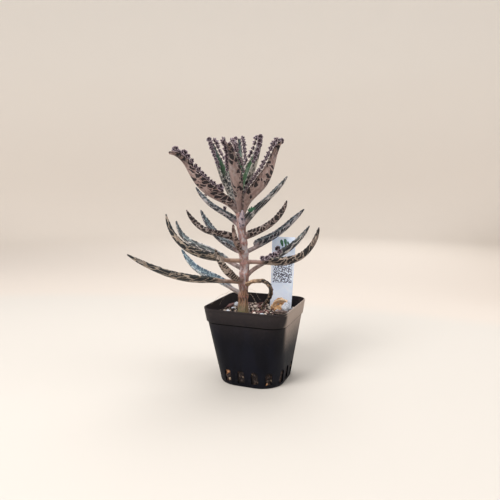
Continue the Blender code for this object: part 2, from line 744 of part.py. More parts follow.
def build():
    """Makes every piece in its place."""
    clear_scene()
    draw = random.Random(SEED)
    make_pot()
    plant = bpy.data.objects.new("plant", None)
    bpy.context.scene.collection.objects.link(plant)
    clearance = make_stem(plant)
    for plan in LEAVES:
        finish = "broad_leaf" if plan.form == "broad" else "leaf"
        make_leaf(plan, clearance, plant, draw, finish)
    make_leaf(WILTED_LEAF, clearance, plant, draw, "wilted_leaf")
    label_solid("plant_label", finish="label")
    slot = as_cutter(label_solid("label slot", extra=CLEARANCE))
    make_mix(clearance, slot)
    make_dry_leaf()
    for bit in PUMICE:
        make_pumice(bit, draw)
    for bit in BARK:
        make_bark(bit, draw)


build()
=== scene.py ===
"""The looks of a potted mother of thousands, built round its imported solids.

Everything is in metres, in the frame of the solids: the pot stands on z = 0.
"""

import math
import random
from collections import namedtuple

import bmesh
import bpy
from mathutils import Matrix, Vector, noise


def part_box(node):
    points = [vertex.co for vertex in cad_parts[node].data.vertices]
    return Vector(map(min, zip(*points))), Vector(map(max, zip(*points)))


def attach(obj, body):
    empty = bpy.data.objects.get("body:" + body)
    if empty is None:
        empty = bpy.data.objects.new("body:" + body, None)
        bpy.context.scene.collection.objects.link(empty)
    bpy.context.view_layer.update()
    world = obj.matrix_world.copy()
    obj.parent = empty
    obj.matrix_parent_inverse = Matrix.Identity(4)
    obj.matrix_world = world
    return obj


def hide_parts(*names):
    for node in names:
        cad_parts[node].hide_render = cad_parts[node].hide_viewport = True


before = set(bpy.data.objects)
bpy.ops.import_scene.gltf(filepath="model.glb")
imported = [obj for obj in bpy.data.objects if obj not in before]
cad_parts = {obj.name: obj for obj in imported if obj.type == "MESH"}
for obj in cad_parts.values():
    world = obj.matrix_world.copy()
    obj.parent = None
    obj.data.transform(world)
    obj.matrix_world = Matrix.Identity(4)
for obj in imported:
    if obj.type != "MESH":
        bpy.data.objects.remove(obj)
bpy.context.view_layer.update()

MM = 0.001
SEED = 61
UP = Vector((0, 0, 1))

# Camera: where the photographer stood
CAMERA_TURN = math.radians(20.8)
CAMERA_DISTANCE = 0.3524
CAMERA_HEIGHT = 0.1410
CAMERA_SIDEWAYS = -0.0127
CAMERA_DIP = 0.1255
CAMERA_ROLL = -0.004
CAMERA_LENS = 34.56

# Studio: a round sheet that curves up from the floor into a wall
FLOOR_RADIUS = 1.1
FLOOR_BEND = 0.5
WALL_TOP = 1.3
STAGE_SIDES = 96
STAGE_BEND_STEPS = 16

# Lights: name, direction from the camera's line in degrees, distance, height, size, power, colour
LIGHTS = (
    ("key light", -42, 0.7, 0.8, 0.4, 8.6, (1, 0.99, 0.98)),
    ("fill light", 80, 0.8, 0.45, 0.5, 1.8, (1, 0.99, 0.98)),
    ("back light", 138, 0.8, 0.5, 0.4, 0.6, (1, 0.98, 0.96)),
    ("top light", 180, 0.4, 1.0, 0.6, 5.0, (1, 1, 1)),
)
LIGHT_AIM = Vector((0, 0, 0.09))
SKY_COLOUR = (0.95, 0.98, 1, 1)
SKY_STRENGTH = 0.7

# Pot
POT_HEIGHT = 57 * MM
RIM_HALF = 31.7 * MM
RIM_CORNER = 10.5 * MM
BAND_BOTTOM = 46.7 * MM
BAND_HALF = 30.6 * MM
BAND_STEP = 0.7 * MM
BASE_HALF = 24.1 * MM
BASE_CORNER = 17 * MM
WALL = 1.0 * MM
FLOOR = 1.5 * MM
CLEARANCE = 0.3 * MM
CORNER_STEPS = 12
SLOT_WALKS = (-12.8 * MM, -2.4 * MM, 8 * MM, 18.4 * MM)
SLOT_WIDTH = 5.2 * MM
SLOT_BOTTOM = 2.5 * MM
SLOT_TOP = 12.5 * MM
SLOT_REACH = (-3 * MM, 3 * MM)
SLOT_ARC_STEPS = 12
# Edges that turn by more degrees than this stay sharp, on the pot and on small bits
POT_CREASE = 32
GRAIN_CREASE = 40

# Outer and inner profile of the pot: height, and how far in from the outer face, in millimetres
POT_PROFILE = (
    (0, 1.1),
    (0.12, 0.5),
    (0.4, 0.12),
    (0.9, 0),
    (24, 0),
    (45.9, 0),
    (46.35, 0.12),
    (46.68, 0.3),
    (46.7, 0.5),
    (46.74, 0.16),
    (47.0, 0),
    (51, 0),
    (54.9, 0),
    (55.15, 0.12),
    (55.4, 0),
    (56.5, 0),
    (56.85, 0.12),
    (57, 0.4),
    (57, 0.75),
    (56.8, 1.0),
    (47.7, 1.0),
    (45.7, 1.0),
    (24, 1.0),
    (1.5, 1.0),
)

# Potting mix
MIX_LEVEL = 49 * MM
MIX_RINGS = 30
MIX_FLAT_STEPS = 8
MIX_RIPPLE = 0.7 * MM
MIX_RIPPLE_SPAN = 6 * MM
MIX_CRUMB = 0.55 * MM
MIX_CRUMB_SPAN = 1.3 * MM
# What stands or lies on the mix, where its top is level: place and reach in millimetres
KEEP_LEVEL = (
    (-9.2, -3.6, 6.2),
    (7.4, 13.0, 8),
    (14.7, 20.4, 9),
    (20.4, 10.0, 6),
    (-21.6, 12.6, 3.7),
    (9.0, -13.0, 4.5),
    (18.6, 1.2, 6.5),
    (-25.8, 11.0, 6),
    (-1.4, 14.6, 5.5),
)

# Bark chips that stand for solids: their turn in degrees, and their finish
BARK_CHIPS = ((25, "brown bark"), (86, "red bark"), (70, "red bark"))

# White stones about the mix: place and half size in millimetres
WHITE_PEBBLES = (
    ((25.2, 14.4), (2.1, 1.8, 1.7)),
    ((13.9, 8.0), (1.8, 1.5, 1.4)),
    ((23.8, 3.6), (2.1, 1.7, 1.5)),
    ((-15.0, 6.8), (2.0, 1.6, 1.3)),
    ((-20.6, 4.2), (1.8, 1.5, 1.3)),
    ((-13.6, -12.4), (2.4, 1.7, 1.5)),
    ((-19.8, -7.6), (2.2, 1.7, 1.4)),
)

# Crumpled scraps under the dry leaf: place, with its height over the mix, and half size in
# millimetres, and turn in degrees
DRY_SCRAPS = (
    ((11.2, 14.6, 1.7), (3.4, 1.5, 2.5), 35),
    ((14.6, 15.4, 2.4), (3.2, 1.4, 3.0), 5),
    ((13.0, 13.2, 1.2), (3.6, 1.9, 1.5), 70),
    ((17.0, 15.2, 1.6), (2.6, 1.6, 2.2), 120),
)

# Small grains and chips on the mix: radius in millimetres, and how flat, as shares of the radius
Grain = namedtuple("Grain", "name count radius flat finish rough slot")
GRAINS = (
    Grain("white_grains", 90, (0.5, 1.7), (0.6, 0.95), "cream grit", 0.35, "pumice"),
    Grain("beige_grit", 330, (0.35, 1.3), (0.5, 0.9), "grit", 0.3, "pumice"),
    Grain("dark_crumbs", 240, (0.4, 1.5), (0.5, 0.9), "crumb", 0.4, "potting_mix"),
)
CHIPS = (
    Grain("red_bark_bits", 90, (0.9, 3.2), (0.3, 0.5), "red bark", 0.6, "bark"),
    Grain("brown_bark_bits", 120, (0.8, 3.0), (0.3, 0.5), "brown bark", 0.6, "bark"),
)
SCATTER_HALF = 26.6 * MM
SCATTER_CORNER = 34.0 * MM
STEM_FOOT = (-9.4 * MM, -3.6 * MM)
STEM_CLEAR = 4.2 * MM
FIBRE_COUNT = 46
FIBRE_STEPS = 10
FIBRE_BEND = 1.2

# Bits that show in each drain slot, and their finishes
SLOT_BITS = 5
SLOT_FINISHES = ["orange bark", "pumice", "crumb"]

# Stem: height, sideways drift and radius at each station, from its root up, in millimetres
STEM = (
    (31, -9.4, -3.6, 2.6),
    (48, -9.2, -3.6, 4.2),
    (60, -9.1, -3.5, 3.5),
    (72, -8.6, -3.3, 3.6),
    (84, -8.0, -3.0, 3.4),
    (94, -8.6, -3.3, 3.3),
    (104, -9.4, -3.6, 3.2),
    (114, -10.1, -3.8, 3.0),
    (124, -10.9, -4.2, 2.7),
    (130, -11.2, -4.3, 1.7),
    (134, -11.4, -4.4, 0.5),
)
NODE_HEIGHTS = (62, 71, 79, 87, 94, 102, 114, 123)
NODE_SWELL = 0.55
NODE_SPREAD = 1.9
STEM_SIDES = 36
STEM_RINGS = 150
# Young leaves in the bud: direction in degrees, length in millimetres, and lean outward
BUD_LEAVES = ((10, 5.0, 0.22), (190, 4.6, 0.25), (100, 3.4, 0.18), (280, 3.2, 0.2))
BUD_LEAF_WIDTH = 1.7 * MM
# Air roots: height on the stem, direction in degrees, reach outward and fall in millimetres
AERIAL_ROOTS = (
    (66, 200, 15, 8),
    (64, 215, 22, 4),
    (67, 330, 17, 2),
    (63, 345, 12, 9),
    (60, 300, 8, 7),
    (65, 120, 13, 6),
)
ROOT_STEPS = 18
ROOT_BEND = 1.6

# Leaves: height on the stem, direction, length, climb at even steps from base to tip, width
# of one folded side, length of the stalk, form and finish. Millimetres and degrees.
LeafPlan = namedtuple("LeafPlan", "name height direction length climb side stalk form finish")
LEAVES = (
    LeafPlan("leaf_01", 72, 221, 88, (10, 5, 2, 14, 25, 31, 38), 6.4, 17, "narrow", "streaked"),
    LeafPlan("leaf_02", 62, 151, 91, (14, 12, 6, 6, 16, 32, 51), 5.8, 16, "narrow", "blue"),
    LeafPlan("leaf_03", 88, 221, 74, (7, 6, 10, 25, 45, 66, 86), 7.2, 15, "bellied", "streaked"),
    LeafPlan("leaf_04", 81, 161, 86, (22, 16, 13, 12, 16, 39, 84), 5.6, 16, "narrow", "grey"),
    LeafPlan("leaf_05", 74, 256, 44, (4, 21, 40, 57, 75), 4.8, 6, "narrow", "barred"),
    LeafPlan("leaf_06", 75, 31, 63.5, (55, 33, 21, 26, 39, 51, 63), 5.4, 15, "narrow", "grey"),
    LeafPlan("leaf_07", 87, 351, 72, (11, 1, -3, 8, 24, 45, 64, 84), 7.0, 14, "bellied", "brown"),
    LeafPlan("leaf_08", 94, 161, 56, (10, 17, 27, 39, 53, 67), 6.2, 5, "tapered", "teal"),
    LeafPlan("leaf_09", 94, 41, 58, (25, 22, 27, 37, 44, 49), 6.4, 9, "tapered", "teal"),
    LeafPlan("leaf_10", 94, 266, 29, (21, 36, 53, 75, 92), 2.8, 4, "narrow", "olive"),
    LeafPlan("leaf_11", 101, 221, 50, (38, 22, 12, 16, 36, 55, 69), 5.8, 6, "tapered", "freckled"),
    LeafPlan("leaf_12", 105, 356, 46, (18, 22, 29, 40, 58, 80), 6.0, 4, "tapered", "freckled"),
    LeafPlan("leaf_13", 113, 171, 50, (43, 30, 25, 32, 45, 59), 4.4, 5, "tapered", "teal"),
    LeafPlan("leaf_14", 113, 41, 51.5, (52, 44, 41, 46, 59), 5.2, 5, "tapered", "grey"),
    LeafPlan("leaf_15", 112, 296, 17, (34, 54, 62, 66), 2.8, 3, "narrow", "pale"),
    LeafPlan("leaf_16", 122, 221, 68.5, (60, 37, 22, 29, 44, 58, 64, 45, 0), 8.4, 6, "broad", "mauve"),
    LeafPlan("leaf_17", 119, 350.5, 64, (72, 64, 38, 41, 60, 74, 74, 52), 8.4, 8, "broad", "mauve"),
    LeafPlan("leaf_18", 124, 282, 61, (58, 53, 50, 50, 54, 54, 8), 7.6, 8, "broad", "mauve"),
    LeafPlan("leaf_19", 126, 156, 61, (44, 50, 57, 65, 66, 63), 7.2, 6, "broad", "half back"),
    LeafPlan("leaf_20", 133, 112, 57.5, (20, 54, 60, 66, 74), 6.4, 9, "broad", "back"),
    LeafPlan("leaf_21", 126, 54, 55.6, (72, 74, 63, 67, 76, 82), 7.2, 10, "broad", "back"),
)
WILTED_CLIMB = (38, 31, 10, 3, -39, -102, -128, -127, -129)
WILTED_LEAF = LeafPlan("wilted_leaf", 69, 341, 47.4, WILTED_CLIMB, 2.1, 20, "narrow", "wilted")
DRY_LEAF = LeafPlan("dry_leaf", 0, 20, 17, (75, 45, 5, -45, -80), 3.6, 2, "narrow", "dry")
DRY_LEAF_PLACE = (7.4 * MM, 13.0 * MM)
WILTED_SEED = 31
DRY_SEED = 37
WILTED_CRUMPLE = 0.5 * MM
DRY_CRUMPLE = 1.3 * MM
CRUMPLE_SPAN = 2.6 * MM

# Shape rules that all the leaves share
LEAF_START = 1.2 * MM
LEAF_RINGS = 72
LEAF_STATIONS = [station / LEAF_RINGS for station in range(LEAF_RINGS + 1)]
FLANK_STEPS = 9
FLANK_FINE_STEPS = 40
MIDLINE_STEPS = 240
# Share of the full width at shares of the blade's length
OUTLINES = {
    "narrow": (
        (0, 0.36), (0.12, 0.72), (0.36, 1), (0.52, 0.92), (0.7, 0.7), (0.86, 0.46), (0.95, 0.24), (1, 0.1),
    ),
    "bellied": (
        (0, 0.4), (0.1, 0.85), (0.3, 1), (0.45, 0.95), (0.6, 0.68), (0.74, 0.48), (0.9, 0.3), (1, 0.08),
    ),
    "tapered": (
        (0, 0.6), (0.06, 0.95), (0.14, 1), (0.3, 0.88), (0.55, 0.72), (0.8, 0.54), (0.92, 0.28), (1, 0.1),
    ),
    "broad": (
        (0, 0.3), (0.1, 0.62), (0.28, 0.94), (0.42, 1), (0.52, 0.95), (0.66, 0.68), (0.78, 0.48), (1, 0.2),
    ),
}
# Slope of a side at its keel and at its margin
NARROW_FOLD = (math.radians(22), math.radians(66))
BROAD_FOLD = (math.radians(40), math.radians(74))
KEEL_ROUNDING = 0.14
STALK_SIDE = 1.7 * MM
TIP_SIDE = 0.65 * MM
# How far each ring of the rounded tip shrinks, and how far ahead it lies, in tip widths
TIP_ROUNDING = ((0.8, 0.35), (0.45, 0.62), (0.12, 0.72))
STALK_FLARE = 0.7
STALK_FLARE_SPAN = 3.0 * MM
KEEL_THICKNESS = 1.7 * MM
MARGIN_THICKNESS = 0.75 * MM
STALK_EXTRA = 0.8 * MM
CHANNEL_HALF = 0.12 * MM
EDGE_ROUNDING = 0.42
WAVE_SPAN = 8 * MM
TOOTH_HEIGHT = 0.42 * MM
TOOTH_SPACING = 3.1 * MM

# Plantlets along the margins of the broad leaves
PLANTLET_SPACING = 3.3 * MM
PLANTLET_END = 0.985
PLANTLET_NECK = 1.5 * MM
PLANTLET_NECK_RADIUS = 0.42 * MM
PLANTLETS_FROM = {
    "leaf_16": 0.3,
    "leaf_17": 0.26,
    "leaf_18": 0.52,
    "leaf_19": 0.6,
    "leaf_20": 0.58,
    "leaf_21": 0.6,
}
LAST_PLANTLET = {"leaf_16": 0.955}
# Size along the row, from its first plantlet to its last
PLANTLET_GROWTH = ((0, 0.7), (0.25, 0.95), (0.7, 1.05), (0.92, 1.3))
PLANTLET_LOBE = 2.1 * MM
YOUNG_LOBE = 0.72
LOBE_RINGS = 7
LOBE_SIDES = 8
LOBE_WIDEST = 0.58
# Which of a leaf's finishes its plantlets and sprigs have
PLANTLET_FINISH = 1
SPRIG_FINISH = 2
# Single plantlets, most of them on lower leaves: share of the length, margin, scale
LONE_PLANTLETS = {
    "leaf_06": ((0.52, 1, 1.3), (0.5, -1, 1.0)),
    "leaf_07": ((0.25, 1, 1.3), (0.29, 1, 1.5), (0.24, -1, 1.1), (0.3, -1, 1.2)),
    "leaf_13": ((0.84, -1, 0.9), (0.42, -1, 1.0)),
    "leaf_16": ((0.345, 1, 1.5),),
}
# Green sprigs: share of the length, margin, fan, and each leaflet's length, width and shift
GREEN_SPRIGS = {
    "leaf_06": (0.62, 1, 0.03, ((6.2, 2.3, -2.6), (6.2, 2.2, 0.6), (3.6, 1.4, 2.8))),
    "leaf_14": (
        0.24, -1, 0.35,
        ((3.2, 1.3, -2.0), (3.8, 1.4, -0.9), (4.2, 1.5, 0.1), (3.6, 1.4, 1.1), (3.0, 1.2, 2.2)),
    ),
}

# Label: its place in the mix and its size
LABEL_WIDTH = 18.2 * MM
LABEL_FOOT_WIDTH = 16 * MM
LABEL_LENGTH = 92 * MM
LABEL_THICKNESS = 0.6 * MM
LABEL_POINT = 16 * MM
LABEL_CORNER = 1.5 * MM
LABEL_CORNER_STEPS = 8
# Where a ring of the label lies in its half thickness, and how far in from the outline, in mm
LABEL_EDGES = ((-1, 0.12), (-0.7, 0), (0.7, 0), (1, 0.12))
LABEL_TOP = Vector((15.3 * MM, 20.6 * MM, 104.8 * MM))
LABEL_LEAN = math.radians(2.7)


def paint(red, green, blue):
    """A colour given as it looks on a screen, from 0 to 255, as linear light."""
    shares = (red / 255, green / 255, blue / 255)
    return (*(((share + 0.055) / 1.055) ** 2.4 for share in shares), 1)


def each_way(scale):
    """A scale for each of the three ways, from one number or from three."""
    return scale if isinstance(scale, tuple) else (scale, scale, scale)


class Value:
    """A number or vector in a material, which plain arithmetic works on."""

    def __init__(self, finish, socket):
        self.finish = finish
        self.socket = socket

    def __add__(self, other):
        return self.finish.sum("ADD", self, other)

    def __sub__(self, other):
        return self.finish.sum("SUBTRACT", self, other)

    def __rsub__(self, other):
        return self.finish.sum("SUBTRACT", other, self)

    def __mul__(self, other):
        return self.finish.sum("MULTIPLY", self, other)

    def __truediv__(self, other):
        return self.finish.sum("DIVIDE", self, other)

    __radd__ = __add__

    def step(self, low, high):
        """Rises softly from nought at low to one at high."""
        sockets = {"Value": self, "From Min": low, "From Max": high}
        return self.finish.node("MapRange", sockets, {"interpolation_type": "SMOOTHSTEP"})


class Finish:
    """One material: nodes written as plain sums, which feed a Principled shader."""

    def __init__(self, name, **constants):
        self.material = bpy.data.materials.new(name)
        self.material.use_nodes = True
        self.tree = self.material.node_tree
        self.shader = self.tree.nodes["Principled BSDF"]
        for socket, value in constants.items():
            self.shader.inputs[socket.replace("_", " ")].default_value = value

    def feed(self, socket, value):
        """Links a value to a socket, or sets the socket to a constant."""
        if isinstance(value, Value):
            self.tree.links.new(value.socket, socket)
        else:
            socket.default_value = value

    def node(self, kind, inputs=None, settings=None, output=0):
        """Adds a node, with its settings first, and gives one of its outputs."""
        made = self.tree.nodes.new("ShaderNode" + kind)
        for name, value in (settings or {}).items():
            setattr(made, name, value)
        for name, value in (inputs or {}).items():
            self.feed(made.inputs[name], value)
        return Value(self, made.outputs[output])

    def sum(self, operation, first, second):
        """Plain arithmetic on two numbers."""
        return self.node("Math", {0: first, 1: second}, {"operation": operation})

    def stretched(self, vector, scale):
        """A vector multiplied by a scale."""
        return self.node("VectorMath", {0: vector, 1: each_way(scale)}, {"operation": "MULTIPLY"})

    def read(self, name):
        """The three numbers that the mesh holds under this name."""
        return self.parts(self.node("Attribute", settings={"attribute_name": name}, output="Vector"))

    def where(self, scale=1):
        """The place on the object, in millimetres times a scale."""
        place = self.node("TexCoord", output="Object")
        return self.stretched(place, tuple(part / MM for part in each_way(scale)))

    def parts(self, vector):
        """The three parts of a vector."""
        split = self.node("SeparateXYZ", {0: vector}).socket.node
        return [Value(self, socket) for socket in split.outputs]

    def joined(self, x, y, z):
        """A vector made of three numbers."""
        return self.node("CombineXYZ", {0: x, 1: y, 2: z})

    def cloud(self, vector, scale=None, detail=2.0, rough=0.5, twist=0.0):
        """Soft random noise round one half, about one feature to each unit."""
        vector = self.stretched(vector, scale) if scale else vector
        sockets = {"Vector": vector, "Scale": 1, "Detail": detail, "Roughness": rough, "Distortion": twist}
        return self.node("TexNoise", sockets)

    def cells(self, vector, scale=None, output="Distance", loose=1.0, feature="F1"):
        """Random cells, about one to each unit: the distance from a cell's middle, or its colour."""
        vector = self.stretched(vector, scale) if scale else vector
        sockets = {"Vector": vector, "Scale": 1, "Randomness": loose}
        return self.node("TexVoronoi", sockets, {"feature": feature}, output)

    def blend(self, share, under, over):
        """One colour laid over another, by a share from nought to one."""
        under, over = (paint(*colour) if isinstance(colour, tuple) else colour for colour in (under, over))
        return self.node("Mix", {0: share, 6: under, 7: over}, {"data_type": "RGBA"}, 2)

    def coat(self, colour, roughness, height=None, depth=0.1):
        """Feeds the shader: colour, roughness, and a bump of this depth in millimetres."""
        self.feed(self.shader.inputs["Base Color"], colour)
        self.feed(self.shader.inputs["Roughness"], roughness)
        if height:
            bump = self.node("Bump", {"Height": height, "Distance": depth * MM, "Strength": 1})
            self.feed(self.shader.inputs["Normal"], bump)
        return self.material


# Spotted skins of the leaves. Their colours are the ground and its pale patches, the marks and
# their darkest parts, the stalk, and the upper face. Along and across are the size of one mark in
# millimetres, and slant leans the marks. Gap is the width of the pale lines between them, plain
# the share of marks left out, and edge the share that comes back towards the margin. Inner is
# where on the blade the colour of its upper face starts, and bare the share of marks gone there.
SKIN_PARTS = "ground pale mark deep stalk inside along across slant gap plain edge inner bare"
Skin = namedtuple("Skin", SKIN_PARTS, defaults=(-0.1, 0.2))
SKINS = {
    "streaked": Skin(
        (140, 126, 114), (178, 165, 151), (18, 32, 41), (12, 20, 27), (168, 138, 122), (100, 98, 86),
        12.0, 2.5, 0.2, 0.06, 0.03, 0.1,
    ),
    "brown": Skin(
        (132, 116, 107), (172, 157, 146), (18, 21, 26), (12, 13, 18), (148, 118, 112), (94, 92, 78),
        9.5, 2.8, 0.34, 0.06, 0.02, 0.1,
    ),
    "blue": Skin(
        (128, 138, 147), (186, 196, 202), (38, 62, 82), (27, 44, 60), (152, 136, 134), (88, 106, 114),
        5.2, 3.0, 0.4, 0.1, 0.03, 0.0,
    ),
    "pale": Skin(
        (154, 137, 144), (180, 166, 174), (92, 90, 108), (74, 72, 90), (156, 136, 136), (116, 120, 124),
        2.4, 1.6, 0.2, 0.12, 0.4, 0.0,
    ),
    "grey": Skin(
        (140, 134, 134), (194, 192, 192), (26, 34, 42), (18, 23, 30), (152, 128, 124), (88, 94, 90),
        12.0, 2.1, 0.1, 0.085, 0.04, 0.1,
    ),
    "teal": Skin(
        (132, 126, 130), (174, 172, 178), (22, 31, 45), (15, 20, 31), (148, 124, 124), (82, 92, 94),
        5.6, 3.2, 0.4, 0.075, 0.02, 0.1,
    ),
    "barred": Skin(
        (142, 125, 116), (176, 162, 151), (40, 33, 33), (26, 21, 23), (144, 115, 108), (108, 95, 80),
        2.3, 4.6, 0.0, 0.13, 0.08, 0.0,
    ),
    "olive": Skin(
        (120, 97, 89), (147, 126, 118), (68, 50, 44), (50, 35, 33), (136, 107, 100), (96, 94, 70),
        2.8, 1.8, 0.1, 0.1, 0.25, 0.0,
    ),
    "freckled": Skin(
        (130, 114, 112), (164, 150, 146), (26, 18, 23), (18, 13, 18), (144, 117, 115), (92, 90, 80),
        3.6, 2.7, 0.5, 0.08, 0.01, 0.0,
    ),
    "mauve": Skin(
        (127, 106, 102), (155, 136, 132), (24, 19, 28), (16, 13, 21), (144, 124, 122), (50, 76, 50),
        4.8, 3.0, 0.5, 0.075, 0.52, 0.46, -0.1, 0.85,
    ),
    "back": Skin(
        (126, 120, 114), (174, 168, 160), (30, 32, 34), (20, 22, 26), (148, 130, 128), (12, 74, 26),
        3.6, 2.2, 0.2, 0.13, 0.2, 0.2, -0.1, 0.85,
    ),
    "half back": Skin(
        (126, 120, 115), (170, 165, 158), (30, 33, 36), (20, 22, 26), (148, 130, 128), (14, 76, 32),
        3.6, 2.2, 0.2, 0.1, 0.05, 0.1, 0.42, 0.85,
    ),
}
STALK_STREAK = (92, 72, 66)
INSIDE_TIP = (140, 170, 174)
BLOOM_COLOUR = (186, 188, 192)
BLOOM_SPAN = 7.0
SKIN_FINE_GRAIN = 0.28


def leaf_marks(finish, skin, along, across, reach, seed):
    """Where the dark marks lie: long cells with pale lines between them, some left plain."""
    drift = finish.cloud(finish.joined(along / 4.5, across / 2.6, seed)) - 0.5
    slanted = across + along * skin.slant + drift * skin.across * 1.3
    grid = finish.joined(along / skin.along + drift * 0.5, slanted / skin.across, seed)
    line = finish.cells(grid, loose=0.95, feature="DISTANCE_TO_EDGE")
    chance = finish.parts(finish.cells(grid, output="Color", loose=0.95))[0]
    ragged = finish.cloud(finish.joined(along / 0.9, across / 0.5, seed)) - 0.5
    wide = finish.cloud(finish.joined(along / 8, across / 3, seed + 5), detail=1.0) - 0.5
    gap = skin.gap + wide * skin.gap * 1.2 + ragged * 0.09
    kept = 1 - skin.plain + reach.step(0.4, 0.75) * skin.edge
    return (line - gap).step(-0.02, 0.03) * (kept - chance).step(0.0, 0.02)


def leaf_skin(name, skin):
    """A leaf's spotted, waxy skin. It is plain on the stalk and streaked dark at the tip."""
    finish = Finish(name + " leaf skin", Specular_IOR_Level=0.3, Subsurface_Weight=0.05, Subsurface_Scale=MM)
    along, across, seed = finish.read("place")
    share, reach, face = finish.read("zone")
    spot = finish.joined(along, across, seed)
    marks = leaf_marks(finish, skin, along, across, reach, seed)
    patch = finish.cloud(spot, (0.2, 0.5, 1), 3.0, 0.6)
    ground = finish.blend(patch.step(0.42, 0.6), skin.ground, skin.pale)
    inner = face.step(0.4, 0.6) * (1 - reach.step(0.8, 0.98))
    inner = inner * (share + (patch - 0.5) * 0.3).step(skin.inner, skin.inner + 0.1)
    inside = finish.blend(share.step(0.6, 0.95) * 0.6, skin.inside, INSIDE_TIP)
    ground = finish.blend(inner, ground, inside)
    stalk = finish.blend(patch.step(0.48, 0.6) * 0.6, skin.stalk, STALK_STREAK)
    blade = share.step(-0.02, 0.1)
    ground = finish.blend(blade, stalk, ground)
    tip = share.step(0.62, 0.92) * finish.cloud(spot, (0.25, 1.6, 1)).step(0.42, 0.54)
    ground = finish.blend(tip * 0.8, ground, skin.deep)
    bloom = finish.cloud(spot, (1 / BLOOM_SPAN, 2 / BLOOM_SPAN, 1), 4.0, 0.7)
    ground = finish.blend(bloom.step(0.5, 0.72) * 0.35, ground, BLOOM_COLOUR)
    grain = finish.cloud(spot, (1 / SKIN_FINE_GRAIN, 1 / SKIN_FINE_GRAIN, 1))
    ground = finish.blend(grain * 0.2, ground, skin.pale)
    mark = finish.blend(finish.cloud(spot, (0.6, 0.9, 1)).step(0.4, 0.6), skin.mark, skin.deep)
    colour = finish.blend(marks * blade * (1 - inner * skin.bare) * 0.96, ground, mark)
    return finish.coat(colour, 0.46 + grain * 0.16 - marks * 0.06, grain * 0.5 + marks * 0.3 + patch, 0.16)


def plantlet_skin():
    """Small mauve-grey leaflets with dark purple tips."""
    finish = Finish("plantlet skin", Specular_IOR_Level=0.45)
    reach, middle, _ = finish.read("zone")
    fine = finish.cloud(finish.where(2.2))
    dark = (reach + (fine - 0.5) * 0.4).step(0.2, 0.34) * (1 - middle.step(0.66, 0.9))
    colour = finish.blend(fine.step(0.4, 0.62), (134, 115, 124), (174, 159, 168))
    colour = finish.blend(dark * (1 - reach.step(0.8, 0.92)), colour, (34, 22, 34))
    colour = finish.blend((1 - reach.step(0.0, 0.2)) * 0.5, colour, (96, 80, 82))
    return finish.coat(colour, 0.42 + fine * 0.2, fine, 0.08)


def sprig_skin():
    """Fresh green leaflets."""
    finish = Finish("green sprig skin", Specular_IOR_Level=0.45)
    reach = finish.read("zone")[0]
    fine = finish.cloud(finish.where(1.6))
    colour = finish.blend(fine, (34, 88, 58), (78, 132, 104))
    colour = finish.blend(reach.step(0.75, 1.0) * 0.6, colour, (40, 52, 48))
    return finish.coat(colour, 0.42 + fine * 0.15, fine, 0.08)


def stem_skin():
    """Mauve-pink skin with pale bloom, brown and then olive near the mix."""
    finish = Finish("stem skin", Specular_IOR_Level=0.4, Subsurface_Weight=0.05, Subsurface_Scale=MM)
    height, around, node = finish.read("place")
    spot = finish.joined(around, around * 0.4, height)
    broad = finish.cloud(spot, (0.35, 0.35, 0.16), 3.0, 0.6)
    lines = finish.cloud(spot, (1.6, 1.6, 0.22), 3.0, 0.6)
    fine = finish.cloud(spot, (3.2, 3.2, 2.4))
    colour = finish.blend(broad.step(0.4, 0.6), (144, 113, 108), (186, 156, 149))
    colour = finish.blend(lines.step(0.48, 0.6) * 0.85, colour, (84, 58, 55))
    bloom = (broad + (lines - 0.5) * 0.6).step(0.5, 0.62)
    colour = finish.blend(bloom * 0.75, colour, (170, 170, 178))
    low = 1 - (height + (broad - 0.5) * 14).step(62, 72)
    brown = finish.blend(lines.step(0.45, 0.56), (156, 118, 92), (70, 46, 33))
    colour = finish.blend(low * 0.85, colour, brown)
    foot = 1 - (height + (broad - 0.5) * 16).step(50, 60)
    green = finish.blend(lines.step(0.42, 0.6), (82, 92, 46), (138, 136, 96))
    colour = finish.blend(foot * (0.3 + broad.step(0.44, 0.56) * 0.5), colour, green)
    colour = finish.blend(node.step(0.55, 0.95) * 0.5, colour, (158, 112, 108))
    return finish.coat(colour, 0.5 + fine * 0.2, lines + fine * 0.4, 0.3)


# The painted shadow line in the groove under the pot's band: its foot and its top, in millimetres
BAND_SHADOW_FOOT = 45.8
BAND_SHADOW_TOP = 46.72
# How far out the flank with the painted reflection starts, and how much that grows with the height
FLANK_START = 21.8
FLANK_TAPER = 0.125


